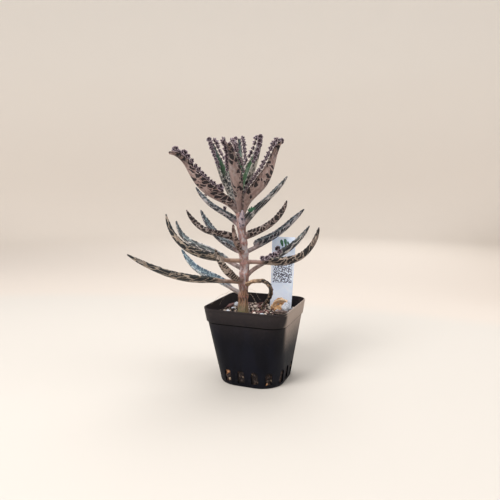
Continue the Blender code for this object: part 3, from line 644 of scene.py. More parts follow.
def pot_skin():
    """Black moulded plastic: satin, faintly grained, scuffed and a little dusty, with painted light and
    shade.
    """
    finish = Finish("pot plastic", IOR=1.22)
    spot = finish.where()
    x, _, z = finish.parts(spot)
    fine = finish.cloud(spot, 3.0, 3.0, 0.6)
    flow = finish.cloud(spot, (0.11, 0.11, 0.035))
    dust = finish.cloud(spot, 0.5, 5.0, 0.7)
    scuffs = finish.cloud(spot, (0.35, 0.35, 1.7), 5.0, 0.75, 0.6).step(0.66, 0.74)
    low = 1 - z.step(2, 16)
    band = z.step(BAND_SHADOW_TOP, BAND_SHADOW_TOP + 0.1)
    # Painted shadow: the groove under the band is painted near black
    groove = z.step(BAND_SHADOW_FOOT, BAND_SHADOW_FOOT + 0.25) * (1 - band)
    # Painted light: the upper wall and the band are painted lighter than the foot
    upper = (z + (dust - 0.5) * 10).step(30, 60)
    colour = finish.blend(flow.step(0.4, 0.62), (6, 7, 16), (12, 14, 25))
    colour = finish.blend(upper * (0.75 + band * 0.25), colour, (44, 39, 40))
    # Painted reflection: the right flank is painted pale towards the top where it is seen at a grazing angle
    grazing = finish.node("LayerWeight", {"Blend": 0.5}, output="Facing")
    painted_reflection = grazing.step(0.42, 0.7) * (z + (dust - 0.5) * 14).step(22, 54)
    flank = (x - z * FLANK_TAPER).step(FLANK_START, FLANK_START + 2.2)
    colour = finish.blend(painted_reflection * flank, colour, (156, 142, 133))
    colour = finish.blend(groove, colour, (2, 2, 4))
    colour = finish.blend(scuffs * (low * 0.4 + 0.05), colour, (128, 122, 116))
    colour = finish.blend(dust.step(0.55, 0.75) * (low * 0.16 + 0.03), colour, (112, 104, 96))
    rough = 0.4 + flow * 0.16 + fine * 0.12 + scuffs * 0.2 + groove * 0.4
    return finish.coat(colour, rough, fine + flow * 6, 0.05)


def mix_skin():
    """Dark, damp compost between the grains."""
    finish = Finish("potting mix", Specular_IOR_Level=0.3)
    spot = finish.where()
    crumb = finish.cloud(spot, 0.9, 4.0, 0.7)
    tone = finish.parts(finish.cells(spot, 0.75, "Color"))[0]
    colour = finish.blend(crumb.step(0.36, 0.62), (20, 17, 18), (46, 38, 36))
    colour = finish.blend(tone.step(0.72, 0.76) * 0.7, colour, (96, 74, 66))
    colour = finish.blend(tone.step(0.93, 0.95) * 0.8, colour, (190, 172, 150))
    return finish.coat(colour, 0.85 + crumb * 0.1, crumb, 0.8)


def stone_skin(name, low, high, speck, pits):
    """Pitted stone in two tones, with small dark specks, and painted shade in its pits."""
    finish = Finish(name, Specular_IOR_Level=0.35)
    spot = finish.where()
    tone = finish.cloud(spot, 0.45, 3.0, 0.6)
    pit = finish.cells(spot, 2.1)
    specks = finish.parts(finish.cells(spot, 1.7, "Color"))[1]
    colour = finish.blend(tone.step(0.4, 0.62), low, high)
    colour = finish.blend(specks.step(0.84, 0.9) * 0.55, colour, speck)
    # Painted shade: the hollows of the pits are painted darker, in the colour of the specks
    colour = finish.blend((1 - pit.step(0.08, 0.3)) * 0.4 * pits, colour, speck)
    return finish.coat(colour, 0.82 + tone * 0.1, pit.step(0.05, 0.4) * pits + tone, 0.35)


def bark_skin(name, low, high, edge):
    """Bark in thin fibrous layers."""
    finish = Finish(name, Specular_IOR_Level=0.3)
    spot = finish.where()
    layers = finish.cloud(spot, (0.5, 0.9, 3.2), 3.0, 0.6, 0.4)
    fibres = finish.cloud(spot, (0.8, 3.0, 3.0), 3.0, 0.6)
    colour = finish.blend(layers.step(0.4, 0.62), low, high)
    colour = finish.blend(fibres.step(0.56, 0.7) * 0.7, colour, edge)
    return finish.coat(colour, 0.8 + fibres * 0.12, layers + fibres * 0.6, 0.35)


# Random speckle on the label: the side of one speck, and the patch's left, right, top and bottom
LABEL_SPECK = 0.62
LABEL_PATCH = (-7.2, 7.4, -18.4, -35.6)


def within(value, low, high):
    """One between low and high, and nought beyond them."""
    return value.step(low, low + 0.1) * (1 - value.step(high - 0.1, high))


def label_skin():
    """Bluish white plastic with a faint painted glow for the light that shines through it, and random
    speckle on its front.
    """
    # The emission is a painted glow, in the colour of the light that would shine through the label
    finish = Finish("label plastic", Specular_IOR_Level=0.45, Emission_Strength=0.28)
    x, y, face = finish.read("place")
    fine = finish.cloud(finish.where(1.2), None, 3.0, 0.6)
    broad = finish.cloud(finish.where(0.12))
    column = finish.node("Math", {0: x / LABEL_SPECK}, {"operation": "FLOOR"})
    row = finish.node("Math", {0: y / LABEL_SPECK}, {"operation": "FLOOR"})
    chance = finish.node("TexWhiteNoise", {"Vector": finish.joined(column, row, SEED)}, output="Value")
    left, right, top, bottom = LABEL_PATCH
    speckle = chance.step(0.46, 0.5) * within(x, left, right) * within(y, bottom, top) * face.step(0.4, 0.6)
    colour = finish.blend(broad.step(0.4, 0.62), (222, 231, 246), (236, 242, 252))
    colour = finish.blend(speckle * 0.9, colour, (46, 46, 66))
    low = 1 - (y + (fine - 0.5) * 8).step(-56, -40)
    colour = finish.blend(low * 0.35, colour, (140, 124, 112))
    through = finish.blend(speckle * 0.9, (172, 194, 222), (46, 46, 66))
    finish.feed(finish.shader.inputs["Emission Color"], through)
    return finish.coat(colour, 0.34 + fine * 0.12, fine, 0.03)


def dry_skin(name, low, high, deep, black_from=1000):
    """A leaf that has dried out, blotched with raised veins, and black past one length in mm."""
    finish = Finish(name, Specular_IOR_Level=0.35, Subsurface_Weight=0.05, Subsurface_Scale=MM)
    along, across, seed = finish.read("place")
    spot = finish.joined(along, across, seed)
    tone = finish.cloud(spot, (0.35, 0.6, 1), 4.0, 0.65, 0.4)
    lines = finish.cloud(spot, (0.3, 2.4, 1), 3.0, 0.6, 0.3)
    colour = finish.blend(tone.step(0.38, 0.6), low, high)
    colour = finish.blend(lines.step(0.52, 0.64) * 0.75, colour, deep)
    black = (along + (tone - 0.5) * 12).step(black_from, black_from + 6)
    colour = finish.blend(black * (1 - lines.step(0.5, 0.58) * 0.9), colour, (24, 21, 22))
    return finish.coat(colour, 0.62 + tone * 0.2, lines * 1.5 + tone, 0.4)


def thread_skin(name, low, high):
    """A fine root or a strand of fibre."""
    finish = Finish(name, Specular_IOR_Level=0.3)
    tone = finish.cloud(finish.where(1.1))
    colour = finish.blend(tone.step(0.4, 0.6), low, high)
    return finish.coat(colour, 0.7 + tone * 0.2, tone, 0.1)


# Colours of the stage, and the oval that they follow, wider from side to side. All but the floor colour are
# painted light and shade
STAGE_OVAL = (0.45, 1, 1)
STAGE_FLOOR = (200, 194, 187)
STAGE_FAR = (204, 194, 185)
STAGE_WALL = (230, 220, 210)
STAGE_RIGHT_SHADE = (184, 171, 159)
STAGE_TOP_LIGHT = (244, 238, 231)


def stage_skin():
    """Plain pale paper, with painted light and shade: a light floor that darkens a little on its way to a
    pale wall.
    """
    finish = Finish("studio paper", Specular_IOR_Level=0.1)
    oval = finish.where(STAGE_OVAL)
    over, _, height = finish.parts(oval)
    away = finish.node("VectorMath", {0: oval}, {"operation": "LENGTH"}, "Value")
    colour = finish.blend(away.step(205, 260), STAGE_FLOOR, STAGE_FAR)
    colour = finish.blend(away.step(380, 1000), colour, STAGE_WALL)
    # Painted shade on the right of the floor and the wall
    right = over.step(0, 260) * away.step(250, 380) * (1 - away.step(1000, 1500))
    colour = finish.blend(right, colour, STAGE_RIGHT_SHADE)
    # Painted light: the wall grows lighter towards its top
    colour = finish.blend(height.step(120, 620), colour, STAGE_TOP_LIGHT)
    fibre = finish.cloud(finish.where(0.05), None, 3.0)
    return finish.coat(colour, 0.85 + fibre * 0.1)


class Body:
    """Points and faces on their way to becoming one piece."""

    def __init__(self):
        self.points = []
        self.places = []
        self.zones = []
        self.faces = []
        self.finishes = []

    def add(self, points, faces, places=None, zones=None, finish=0):
        """Adds points, and faces that count from the first of them."""
        first = len(self.points)
        self.points += points
        self.places += places or [(0, 0, 0)] * len(points)
        self.zones += zones or [(0, 0, 0)] * len(points)
        self.faces += [tuple(first + corner for corner in face) for face in faces]
        self.finishes += [finish] * len(faces)

    def loft(self, rings, places=None, zones=None, finish=0):
        """Joins rings of points, one after the other, into a closed skin."""
        count = len(rings[0])
        points, places, zones = (
            [spot for row in rows or () for spot in row] for rows in (rings, places, zones)
        )
        faces = []
        for low in range(0, len(points) - count, count):
            high = low + count
            for i in range(count):
                after = (i + 1) % count
                faces.append((low + i, low + after, high + after, high + i))
        faces.append(tuple(range(count)))
        faces.append(tuple(range(len(points) - count, len(points))))
        self.add(points, faces, places, zones, finish)


def add_piece(name, body, finishes, nodes=(), crease=60):
    """Turns a body into a piece that rides with the plant and stands for these solids."""
    mesh = bpy.data.meshes.new(name)
    mesh.from_pydata(body.points, [], body.faces)
    for label, rows in (("place", body.places), ("zone", body.zones)):
        store = mesh.attributes.new(label, "FLOAT_VECTOR", "POINT")
        store.data.foreach_set("vector", [part for row in rows for part in row])
    for finish in finishes:
        mesh.materials.append(finish)
    mesh.polygons.foreach_set("material_index", body.finishes)
    skin = bmesh.new()
    skin.from_mesh(mesh)
    bmesh.ops.recalc_face_normals(skin, faces=skin.faces)
    skin.to_mesh(mesh)
    skin.free()
    mesh.shade_smooth()
    mesh.set_sharp_from_angle(angle=math.radians(crease))
    piece = bpy.data.objects.new(name, mesh)
    bpy.context.scene.collection.objects.link(piece)
    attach(piece, "root")
    if nodes:
        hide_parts(*nodes)
    return piece


def between(position, stops):
    """The value at a position on straight lines between the stops."""
    for (start, low), (end, high) in zip(stops, stops[1:]):
        if position <= end:
            return low + (high - low) * (position - start) / (end - start)
    return stops[-1][1]


def curved(position, stops):
    """The value at a position on a smooth curve through the stops."""
    last = len(stops) - 1
    k = 0
    while k < last - 1 and position > stops[k + 1][0]:
        k += 1
    (start, low), (end, high) = stops[k], stops[k + 1]
    before, after = stops[max(k - 1, 0)], stops[min(k + 2, last)]
    span = end - start
    leave = (high - before[1]) / (end - before[0]) * span
    arrive = (after[1] - low) / (after[0] - start) * span
    t = min(1.0, max(0.0, (position - start) / span))
    bend = 3 * t * t - 2 * t * t * t
    rise = leave * (t - 2 * t * t + t * t * t) + arrive * (t * t * t - t * t)
    return low + (high - low) * bend + rise


def level_way(angle):
    """The level direction at an angle in radians round the plant."""
    return Vector((math.cos(angle), math.sin(angle), 0))


def spun(angle, axis="Z"):
    """A turn by an angle in radians about one axis."""
    return Matrix.Rotation(angle, 3, axis)


def random_drift(draw):
    """A random shift, which gives each lump its own noise."""
    return Vector([draw.uniform(0, 90) for _ in range(3)])


def stem_at(height):
    """The stem's middle and radius at a height in metres, with the swelling at its nodes."""
    level = height / MM
    x, y, radius = (curved(level, [(row[0], row[column]) for row in STEM]) for column in (1, 2, 3))
    for node in NODE_HEIGHTS:
        radius += NODE_SWELL * math.exp(-(((level - node) / NODE_SPREAD) ** 2))
    return Vector((x * MM, y * MM, height)), radius * MM


def flank_curve(fold):
    """Points (across, up, slope) from keel to margin, for one side of length 1."""
    across = up = 0.0
    curve = [(0.0, 0.0, 0.0)]
    for step in range(FLANK_FINE_STEPS):
        share = (step + 0.5) / FLANK_FINE_STEPS
        slope = (fold[0] + (fold[1] - fold[0]) * share) * min(1.0, share / KEEL_ROUNDING)
        across += math.cos(slope) / FLANK_FINE_STEPS
        up += math.sin(slope) / FLANK_FINE_STEPS
        curve.append((across, up, slope))
    return [curve[round(FLANK_FINE_STEPS * k / FLANK_STEPS)] for k in range(FLANK_STEPS + 1)]


class LeafShape:
    """A leaf's midline and its folded cross-sections, in the frame of the solids."""

    def __init__(self, plan, foot, seed):
        self.plan = plan
        self.seed = seed
        self.foot = foot
        self.turn = spun(math.radians(plan.direction))
        self.length = plan.length * MM
        self.outline = OUTLINES[plan.form]
        self.flank = flank_curve(BROAD_FOLD if plan.form == "broad" else NARROW_FOLD)
        self.walk = [Vector((LEAF_START, 0, 0))]
        step = self.length / MIDLINE_STEPS
        for piece in range(MIDLINE_STEPS):
            slope = self.climb((piece + 0.5) / MIDLINE_STEPS)
            self.walk.append(self.walk[-1] + Vector((math.cos(slope), 0, math.sin(slope))) * step)

    def climb(self, along):
        """The midline's slope at a share of the length."""
        last = len(self.plan.climb) - 1
        stops = [(step / last, math.radians(angle)) for step, angle in enumerate(self.plan.climb)]
        return between(along, stops)

    def midline(self, along):
        """The midline's point at a share of the length."""
        place = along * MIDLINE_STEPS
        piece = min(int(place), MIDLINE_STEPS - 1)
        return self.walk[piece].lerp(self.walk[piece + 1], place - piece)

    def on_blade(self, along):
        """The share of the blade's own length, below nought on the stalk."""
        stalk = self.plan.stalk / self.plan.length
        return (along - stalk) / (1 - stalk)

    def side(self, along):
        """The width of one side of the blade, or of the stalk, which flares at its foot."""
        share = self.on_blade(along)
        if share < 0:
            flare = math.exp(-along * self.length / STALK_FLARE_SPAN)
            return STALK_SIDE * (1 + STALK_FLARE * flare)
        blade = self.plan.side * MM * curved(share, self.outline)
        return max(blade, STALK_SIDE * (1 - share * 2), TIP_SIDE)

    def thickness(self, along, side):
        """How thick the flesh is at the keel and at the margin."""
        stalk = min(1.0, max(0.0, 1 - self.on_blade(along) * 4)) * STALK_EXTRA
        fade = min(1.0, 0.45 + 6 * (1 - along))
        keel = min((KEEL_THICKNESS + stalk) * fade, side * 1.3 + 0.5 * MM)
        return keel, MARGIN_THICKNESS + stalk

    def tooth(self, along, mirror):
        """How far a tooth of the margin stands out at a share of the length."""
        share = self.on_blade(along)
        if not 0.06 < share < 0.97:
            return 0.0
        phase = along * self.length / TOOTH_SPACING + (0.5 if mirror < 0 else 0)
        return TOOTH_HEIGHT * max(0.0, math.cos(math.tau * phase)) ** 2 * min(1.0, 6 * share)

    def spot(self, along, k, mirror, face, edge=0):
        """A point of the skin: step k from keel to margin, on the under face or the upper.

        An edge of 1 gives the point that rounds off the margin, between the two faces.
        """
        side = self.side(along)
        keel, margin = self.thickness(along, side)
        across, up, slope = self.flank[k]
        share = k / FLANK_STEPS
        drift = noise.noise(Vector((along * self.length / WAVE_SPAN, self.seed * 3.7, mirror)))
        across *= 1 + 0.1 * drift
        stretch = side + self.tooth(along, mirror) * share ** 3 / max(share, 0.1)
        depth = (keel * (1 - share) + margin * share) / 2
        if edge:
            depth = 0.0
            stretch += edge * margin * EDGE_ROUNDING
        over = across * stretch - face * math.sin(slope) * depth
        rise = up * stretch + face * math.cos(slope) * depth
        floor = CHANNEL_HALF * (1 + share) if k else 0.0
        over = mirror * max(over, floor)
        lean = self.climb(along)
        middle = self.midline(along)
        local = middle + Vector((0, over, 0)) + Vector((-math.sin(lean), 0, math.cos(lean))) * rise
        return self.foot + self.turn @ local

    def ring(self, along):
        """All points of one cross-section, with the place and zone of each."""
        steps = FLANK_STEPS
        inward, outward = range(steps, 0, -1), range(steps + 1)
        under = [(k, -1, -1, 0) for k in inward] + [(k, 1, -1, 0) for k in outward]
        upper = [(k, 1, 1, 0) for k in inward] + [(k, -1, 1, 0) for k in outward]
        walk = under + [(steps, 1, 0, 1)] + upper + [(steps, -1, 0, 1)]
        share = self.on_blade(along)
        side = self.side(along) / MM
        points, places, zones = [], [], []
        for k, mirror, face, edge in walk:
            points.append(self.spot(along, k, mirror, face, edge))
            places.append((along * self.plan.length, mirror * side * k / steps, self.seed * 5.3))
            zones.append((share, k / steps, max(face, 0) if not edge else 0.5))
        return points, places, zones

    def margin_point(self, along, mirror):
        """A point on the blade's edge, and the way that edge faces."""
        edge = self.spot(along, FLANK_STEPS, mirror, 0)
        inner = self.spot(along, FLANK_STEPS - 2, mirror, 0)
        return edge, (edge - inner).normalized()

    def heading(self, along):
        """The way the midline runs, in the frame of the solids."""
        lean = self.climb(along)
        return self.turn @ Vector((math.cos(lean), 0, math.sin(lean)))


def add_blade(body, shape, crumple=0.0):
    """Lofts a leaf's cross-sections from its base to a rounded tip, crumpled where it has dried."""
    rings, places, zones = ([*rows] for rows in zip(*map(shape.ring, LEAF_STATIONS)))
    end = rings[-1]
    middle = sum(end, Vector()) / len(end)
    for shrink, ahead in TIP_ROUNDING:
        onward = shape.heading(1.0) * ahead * TIP_SIDE
        rings.append([middle + onward + (point - middle) * shrink for point in end])
        places.append(places[-1])
        zones.append(zones[-1])
    if crumple:
        rings = [
            [point + noise.noise_vector(point / CRUMPLE_SPAN) * crumple for point in ring] for ring in rings
        ]
    body.loft(rings, places, zones)


def lobe(body, root, axis, outward, length, width, rise, finish):
    """One small fleshy leaflet, which curves outward and up from its root."""
    side = axis.cross(outward).normalized()
    rings, zones = [], []
    for step in range(LOBE_RINGS + 1):
        t = math.sin(math.pi / 2 * step / LOBE_RINGS)
        round_end = math.sqrt(max(0.0, 1 - (max(0.0, t - LOBE_WIDEST) / 0.425) ** 2))
        spread = (0.34 + 0.66 * math.sin(math.pi / 2 * min(1.0, t / LOBE_WIDEST))) * round_end
        half = width / 2 * spread
        thick = width * 0.2 * (1 - 0.35 * t) * max(round_end, 0.15)
        middle = root + outward * length * t * (1 - 0.12 * t) + axis * length * rise * t * t
        lean = (outward + axis * 2 * rise * t).normalized()
        normal = side.cross(lean).normalized()
        ring, marks = [], []
        for k in range(LOBE_SIDES):
            angle = math.tau * k / LOBE_SIDES
            cup = axis * half * 0.35 * math.cos(angle) ** 2
            ring.append(middle + side * half * math.cos(angle) + normal * thick * math.sin(angle) + cup)
            marks.append((t, abs(math.cos(angle)), 0))
        rings.append(ring)
        zones.append(marks)
    body.loft(rings, None, zones, finish)


def strand(body, path, radius, sides=6, end=0.4, finish=0):
    """A thin round thread along a path, thinner towards its end."""
    rings = []
    last = len(path) - 1
    angles = [math.tau * k / sides for k in range(sides)]
    for number, point in enumerate(path):
        ahead = (path[min(number + 1, last)] - path[max(number - 1, 0)]).normalized()
        side = ahead.cross(UP if abs(ahead.z) < 0.9 else Vector((1, 0, 0))).normalized()
        over = side.cross(ahead)
        reach = radius * (1 + (end - 1) * number / last)
        rings.append([point + (side * math.cos(a) + over * math.sin(a)) * reach for a in angles])
    body.loft(rings, finish=finish)


def add_plantlet(body, shape, along, mirror, scale, draw):
    """A plantlet on a tooth of the margin: four outer leaflets, and four young ones between them."""
    edge, facing = shape.margin_point(along, mirror)
    ahead = shape.heading(along)
    outside = (shape.turn @ Vector((0, mirror, 0))).normalized()
    lean = outside * draw.uniform(0.9, 1.4) + ahead * draw.uniform(-0.15, 0.3)
    axis = (facing + lean).normalized()
    side = axis.cross(ahead).normalized()
    front = side.cross(axis)
    root = edge + axis * PLANTLET_NECK * scale
    neck = [edge - axis * 0.5 * MM, edge + axis * 0.3 * MM, root]
    strand(body, neck, PLANTLET_NECK_RADIUS * scale, end=0.9, finish=PLANTLET_FINISH)
    spin = draw.uniform(0, math.pi / 2)
    for k in range(4):
        angle = spin + math.pi * k / 2 + draw.uniform(-0.12, 0.12)
        outward = front * math.cos(angle) + side * math.sin(angle)
        length = PLANTLET_LOBE * scale * (1.0 if k % 2 == 0 else 0.9) * draw.uniform(0.9, 1.12)
        rise = draw.uniform(0.05, 0.35) + (0.25 if k % 2 else 0)
        lobe(body, root, axis, outward, length, length * 1.1, rise, PLANTLET_FINISH)
        inward = front * math.cos(angle + math.pi / 4) + side * math.sin(angle + math.pi / 4)
        young = length * YOUNG_LOBE
        lobe(body, root + axis * 0.25 * MM, axis, inward, young, young * 0.95, 1.15, PLANTLET_FINISH)


def add_sprig(body, shape, along, mirror, fan, leaflets):
    """A taller plantlet: leaflets (length, width, place along the margin) that fan out."""
    edge, facing = shape.margin_point(along, mirror)
    ahead = shape.heading(along)
    axis = (facing * 0.4 + UP).normalized()
    side = axis.cross(ahead).normalized()
    front = side.cross(axis)
    neck = [edge + axis * rise * MM for rise in (-0.6, 0.5, 1.0)]
    strand(body, neck, 0.5 * MM, end=0.8, finish=SPRIG_FINISH)
    for length, width, shift in leaflets:
        root = edge + axis * 0.5 * MM + front * shift * 0.8 * MM
        way = (axis + front * shift * fan + side * shift * 0.05).normalized()
        lobe(body, root, -side * mirror, way, length * MM, width * MM, 0.05, SPRIG_FINISH)


def make_leaf(plan, seed, skins, draw):
    """One leaf in its place on the stem, with the plantlets on its margins."""
    foot, _ = stem_at(plan.height * MM)
    shape = LeafShape(plan, foot, seed)
    body = Body()
    add_blade(body, shape)
    if plan.form == "broad":
        end = LAST_PLANTLET.get(plan.name, 1.0)
        first, last = PLANTLETS_FROM[plan.name], PLANTLET_END * end
        count = round(shape.length * (last - first) / PLANTLET_SPACING)
        for mirror in (-1, 1):
            add_plantlet(body, shape, end, mirror, draw.uniform(1.15, 1.3), draw)
            for k in range(count):
                share = (k + (0.5 if mirror < 0 else 0.05)) / count
                along = first + (last - first) * share + draw.uniform(-0.004, 0.004)
                growth = between(share, PLANTLET_GROWTH)
                add_plantlet(body, shape, along, mirror, growth * draw.uniform(0.88, 1.1), draw)
    for along, mirror, scale in LONE_PLANTLETS.get(plan.name, ()):
        add_plantlet(body, shape, along, mirror, scale, draw)
    if plan.name in GREEN_SPRIGS:
        add_sprig(body, shape, *GREEN_SPRIGS[plan.name])
    finishes = [skins[plan.finish], skins["plantlet"], skins["sprig"]]
    add_piece("grown_" + plan.name, body, finishes, [plan.name])


def make_wilted_leaf(skins):
    """The withered leaf that hangs from the stem into the pot."""
    foot, _ = stem_at(WILTED_LEAF.height * MM)
    body = Body()
    add_blade(body, LeafShape(WILTED_LEAF, foot, WILTED_SEED), WILTED_CRUMPLE)
    add_piece("withered_leaf", body, [skins["wilted"]], ["wilted_leaf"])


def make_dry_leaf(skins):
    """The dropped leaf, curled up on the mix in front of the label."""
    body = Body()
    add_blade(body, LeafShape(DRY_LEAF, Vector((*DRY_LEAF_PLACE, 0)), DRY_SEED), DRY_CRUMPLE)
    lowest = min(point.z for point in body.points)
    lift = Vector((0, 0, MIX_LEVEL + CLEARANCE - lowest))
    body.points = [point + lift for point in body.points]
    add_piece("dropped_leaf", body, [skins["dry"]], ["dry_leaf"])


def make_dry_scraps(skins, draw):
    """Crumpled bits of dead leaf that fill the arch of the dropped one."""
    ball = ball_template(3)
    body = Body()
    for (x, y, rise), half, turn in DRY_SCRAPS:
        drift = random_drift(draw)
        add_lump(body, ball, 0.8, drift, on_mix(x, y, rise), Vector(half) * MM, spun(math.radians(turn)))
    add_piece("dry_scraps", body, [skins["scrap"]], crease=GRAIN_CREASE)


def make_pebbles(skins, draw):
    """Middle-sized pale stones that lie on the mix."""
    ball = ball_template(3)
    body = Body()
    for (x, y), half in WHITE_PEBBLES:
        drift = random_drift(draw)
        spin = spun(draw.uniform(0, math.tau))
        add_lump(body, ball, 0.35, drift, on_mix(x, y, half[2] * 0.6), Vector(half) * MM, spin)
    add_piece("white_pebbles", body, [skins["pumice"]], crease=GRAIN_CREASE)


def make_stem(skins):
    """The stem with its swollen nodes, and the bud of young leaves at its tip."""
    body = Body()
    bottom, top = STEM[0][0] * MM, STEM[-1][0] * MM
    rings, places = [], []
    for number in range(STEM_RINGS + 1):
        height = bottom + (top - bottom) * number / STEM_RINGS
        middle, radius = stem_at(height)
        level = height / MM
        node = sum(math.exp(-(((level - at) / (NODE_SPREAD * 0.5)) ** 2)) for at in NODE_HEIGHTS)
        ring, row = [], []
        for k in range(STEM_SIDES):
            angle = math.tau * k / STEM_SIDES
            way = level_way(angle)
            rough = noise.noise(Vector((way.x * 1.4, way.y * 1.4, level / 4)))
            ridge = noise.noise(Vector((way.x * 3.2, way.y * 3.2, level / 14 + 20)))
            reach = radius * (1 + 0.035 * rough + 0.03 * ridge)
            ring.append(middle + way * reach)
            row.append((level, abs(angle - math.pi) * radius / MM, min(node, 1.0)))
        rings.append(ring)
        places.append(row)
    body.loft(rings, places)
    tip, _ = stem_at(top)
    for direction, length, lean in BUD_LEAVES:
        outward = level_way(math.radians(direction))
        way = (UP * (1 - lean) + outward * lean).normalized()
        lobe(body, tip - UP * 1.2 * MM, outward, way, length * MM, BUD_LEAF_WIDTH, 0.12, 1)
    add_piece("grown_stem", body, [skins["stem"], skins["sprig"]], ["stem"])


def make_aerial_roots(skins, draw):
    """Fine pale roots that hang from the lower stem, some of them into the mix."""
    body = Body()
    for height, direction, reach, fall in AERIAL_ROOTS:
        middle, radius = stem_at(height * MM)
        way = level_way(math.radians(direction))
        path = []
        for step in range(ROOT_STEPS + 1):
            t = step / ROOT_STEPS
            bend = noise.noise_vector(Vector((direction, t * 3.2, height))) * ROOT_BEND * MM * t
            drop = -UP * (fall + 3) * MM * t * t + UP * 2.2 * MM * math.sin(math.pi * t)
            path.append(middle + way * (radius * 0.8 + reach * MM * t) + drop + bend)
        strand(body, path, draw.uniform(0.07, 0.11) * MM, end=0.5)
    add_piece("aerial_roots", body, [skins["root"]])


def rounded_square(half, corner, height, flat_steps):
    """A level ring of points round the pot's axis, with steps along its four flats."""
    ring = []
    away = Vector((half - corner, half - corner))
    for quarter in range(4):
        start = math.radians(90 * quarter)
        end = start + math.pi / 2
        middle, following = Matrix.Rotation(start, 2) @ away, Matrix.Rotation(end, 2) @ away
        for step in range(CORNER_STEPS + 1):
            angle = start + math.radians(90 * step / CORNER_STEPS)
            x, y = middle.x + corner * math.cos(angle), middle.y + corner * math.sin(angle)
            ring.append(Vector((x, y, height)))
        outset = Vector((math.cos(end), math.sin(end))) * corner
        for step in range(1, flat_steps):
            spot = (middle + outset).lerp(following + outset, step / flat_steps)
            ring.append(Vector((spot.x, spot.y, height)))
    return ring


def pot_half(height):
    """Half the pot's outer width at a height, on the plain wall or on the band."""
    if height < BAND_BOTTOM:
        return BASE_HALF + (BAND_HALF - BAND_STEP - BASE_HALF) * height / BAND_BOTTOM
    return BAND_HALF + (RIM_HALF - BAND_HALF) * (height - BAND_BOTTOM) / (POT_HEIGHT - BAND_BOTTOM)


def pot_corner(height):
    """The pot's outer corner radius at a height."""
    return BASE_CORNER + (RIM_CORNER - BASE_CORNER) * height / POT_HEIGHT


def pot_ring(height, inset, flat_steps=1):
    """A ring of the pot at a height, set in from its outer face."""
    return rounded_square(pot_half(height) - inset, pot_corner(height) - inset, height, flat_steps)


def wall_place(side, walk, height):
    """The middle of the corner's bend for a place along one side, its turn and its radius."""
    corner = pot_corner(height)
    flat = pot_half(height) - corner
    bend = math.copysign(max(0.0, abs(walk) - flat) / corner, walk)
    turn = spun(math.radians(90 * side))
    centre = turn @ Vector((min(max(walk, -flat), flat), -flat, 0))
    return centre, turn @ spun(bend), corner


def slot_rings(side, walk):
    """The arched hole of one drain slot, as two rings."""
    radius = SLOT_WIDTH / 2
    outline = [(-radius, SLOT_BOTTOM), (radius, SLOT_BOTTOM)]
    for step in range(SLOT_ARC_STEPS + 1):
        angle = math.pi * step / SLOT_ARC_STEPS
        outline.append((radius * math.cos(angle), SLOT_TOP - radius + radius * math.sin(angle)))
    centre, turn, corner = wall_place(side, walk, (SLOT_BOTTOM + SLOT_TOP) / 2)
    return [[centre + turn @ Vector((x, -corner - reach, z)) for x, z in outline] for reach in SLOT_REACH]


def make_pot(skins):
    """The moulded shell: rounded rim, stepped band with its groove, and drain slots."""
    shell = Body()
    shell.loft([pot_ring(height * MM, inset * MM) for height, inset in POT_PROFILE])
    holes = Body()
    for side in range(4):
        for walk in SLOT_WALKS:
            holes.loft(slot_rings(side, walk))
    pot = add_piece("moulded_pot", shell, [skins["pot"]], ["pot"], POT_CREASE)
    cutter = add_piece("slot_cutter", holes, [skins["pot"]])
    cut = pot.modifiers.new("drain slots", "BOOLEAN")
    cut.operation = "DIFFERENCE"
    cut.solver = "EXACT"
    cut.object = cutter
    graph = bpy.context.evaluated_depsgraph_get()
    carved = bpy.data.meshes.new_from_object(pot.evaluated_get(graph))
    pot.modifiers.clear()
    pot.data = carved
    pot.data.shade_smooth()
    pot.data.set_sharp_from_angle(angle=math.radians(POT_CREASE))
    bpy.data.objects.remove(cutter, do_unlink=True)


def mix_height(x, y):
    """How high the top of the mix is at a place, with no bumps where something stands on it."""
    near = min(math.hypot(x / MM - sx, y / MM - sy) - reach for sx, sy, reach in KEEP_LEVEL)
    open_share = min(1.0, max(0.0, near / 3))
    ripple = MIX_RIPPLE * noise.noise(Vector((x, y, 0)) / MIX_RIPPLE_SPAN) * open_share
    fine = noise.noise(Vector((x, y, 0.02)) / MIX_CRUMB_SPAN * 2.3)
    crumb = noise.noise(Vector((x, y, 0.01)) / MIX_CRUMB_SPAN) + 0.5 * fine
    return MIX_LEVEL + ripple + MIX_CRUMB * (crumb - 0.9 * (1 - open_share))


def on_mix(x, y, rise):
    """A point over the top of the mix, from millimetres."""
    return Vector((x * MM, y * MM, mix_height(x * MM, y * MM) + rise * MM))


def make_mix(skins):
    """The mix that fills the pot, with a crumbly top."""
    body = Body()
    gap = WALL + CLEARANCE
    heights = (FLOOR + CLEARANCE, 10 * MM, 20 * MM, 32 * MM, BAND_BOTTOM - WALL)
    rings = [pot_ring(height, gap, MIX_FLAT_STEPS) for height in heights]
    edge = pot_ring(MIX_LEVEL, gap, MIX_FLAT_STEPS)
    for number in range(MIX_RINGS):
        share = 1 - number / MIX_RINGS
        places = [(point.x * share, point.y * share) for point in edge]
        rings.append([Vector((x, y, mix_height(x, y))) for x, y in places])
    body.loft(rings)
    add_piece("bed_of_mix", body, [skins["mix"]], ["potting_mix"])


def taken_from(skin):
    """The points and faces of a plain form, which is then let go."""
    skin.verts.index_update()
    points = [vertex.co.copy() for vertex in skin.verts]
    faces = [tuple(vertex.index for vertex in face.verts) for face in skin.faces]
    skin.free()
    return points, faces


def ball_template(detail):
    """Points and faces of a round ball of radius 1."""
    skin = bmesh.new()
    bmesh.ops.create_icosphere(skin, subdivisions=detail, radius=1)
    return taken_from(skin)


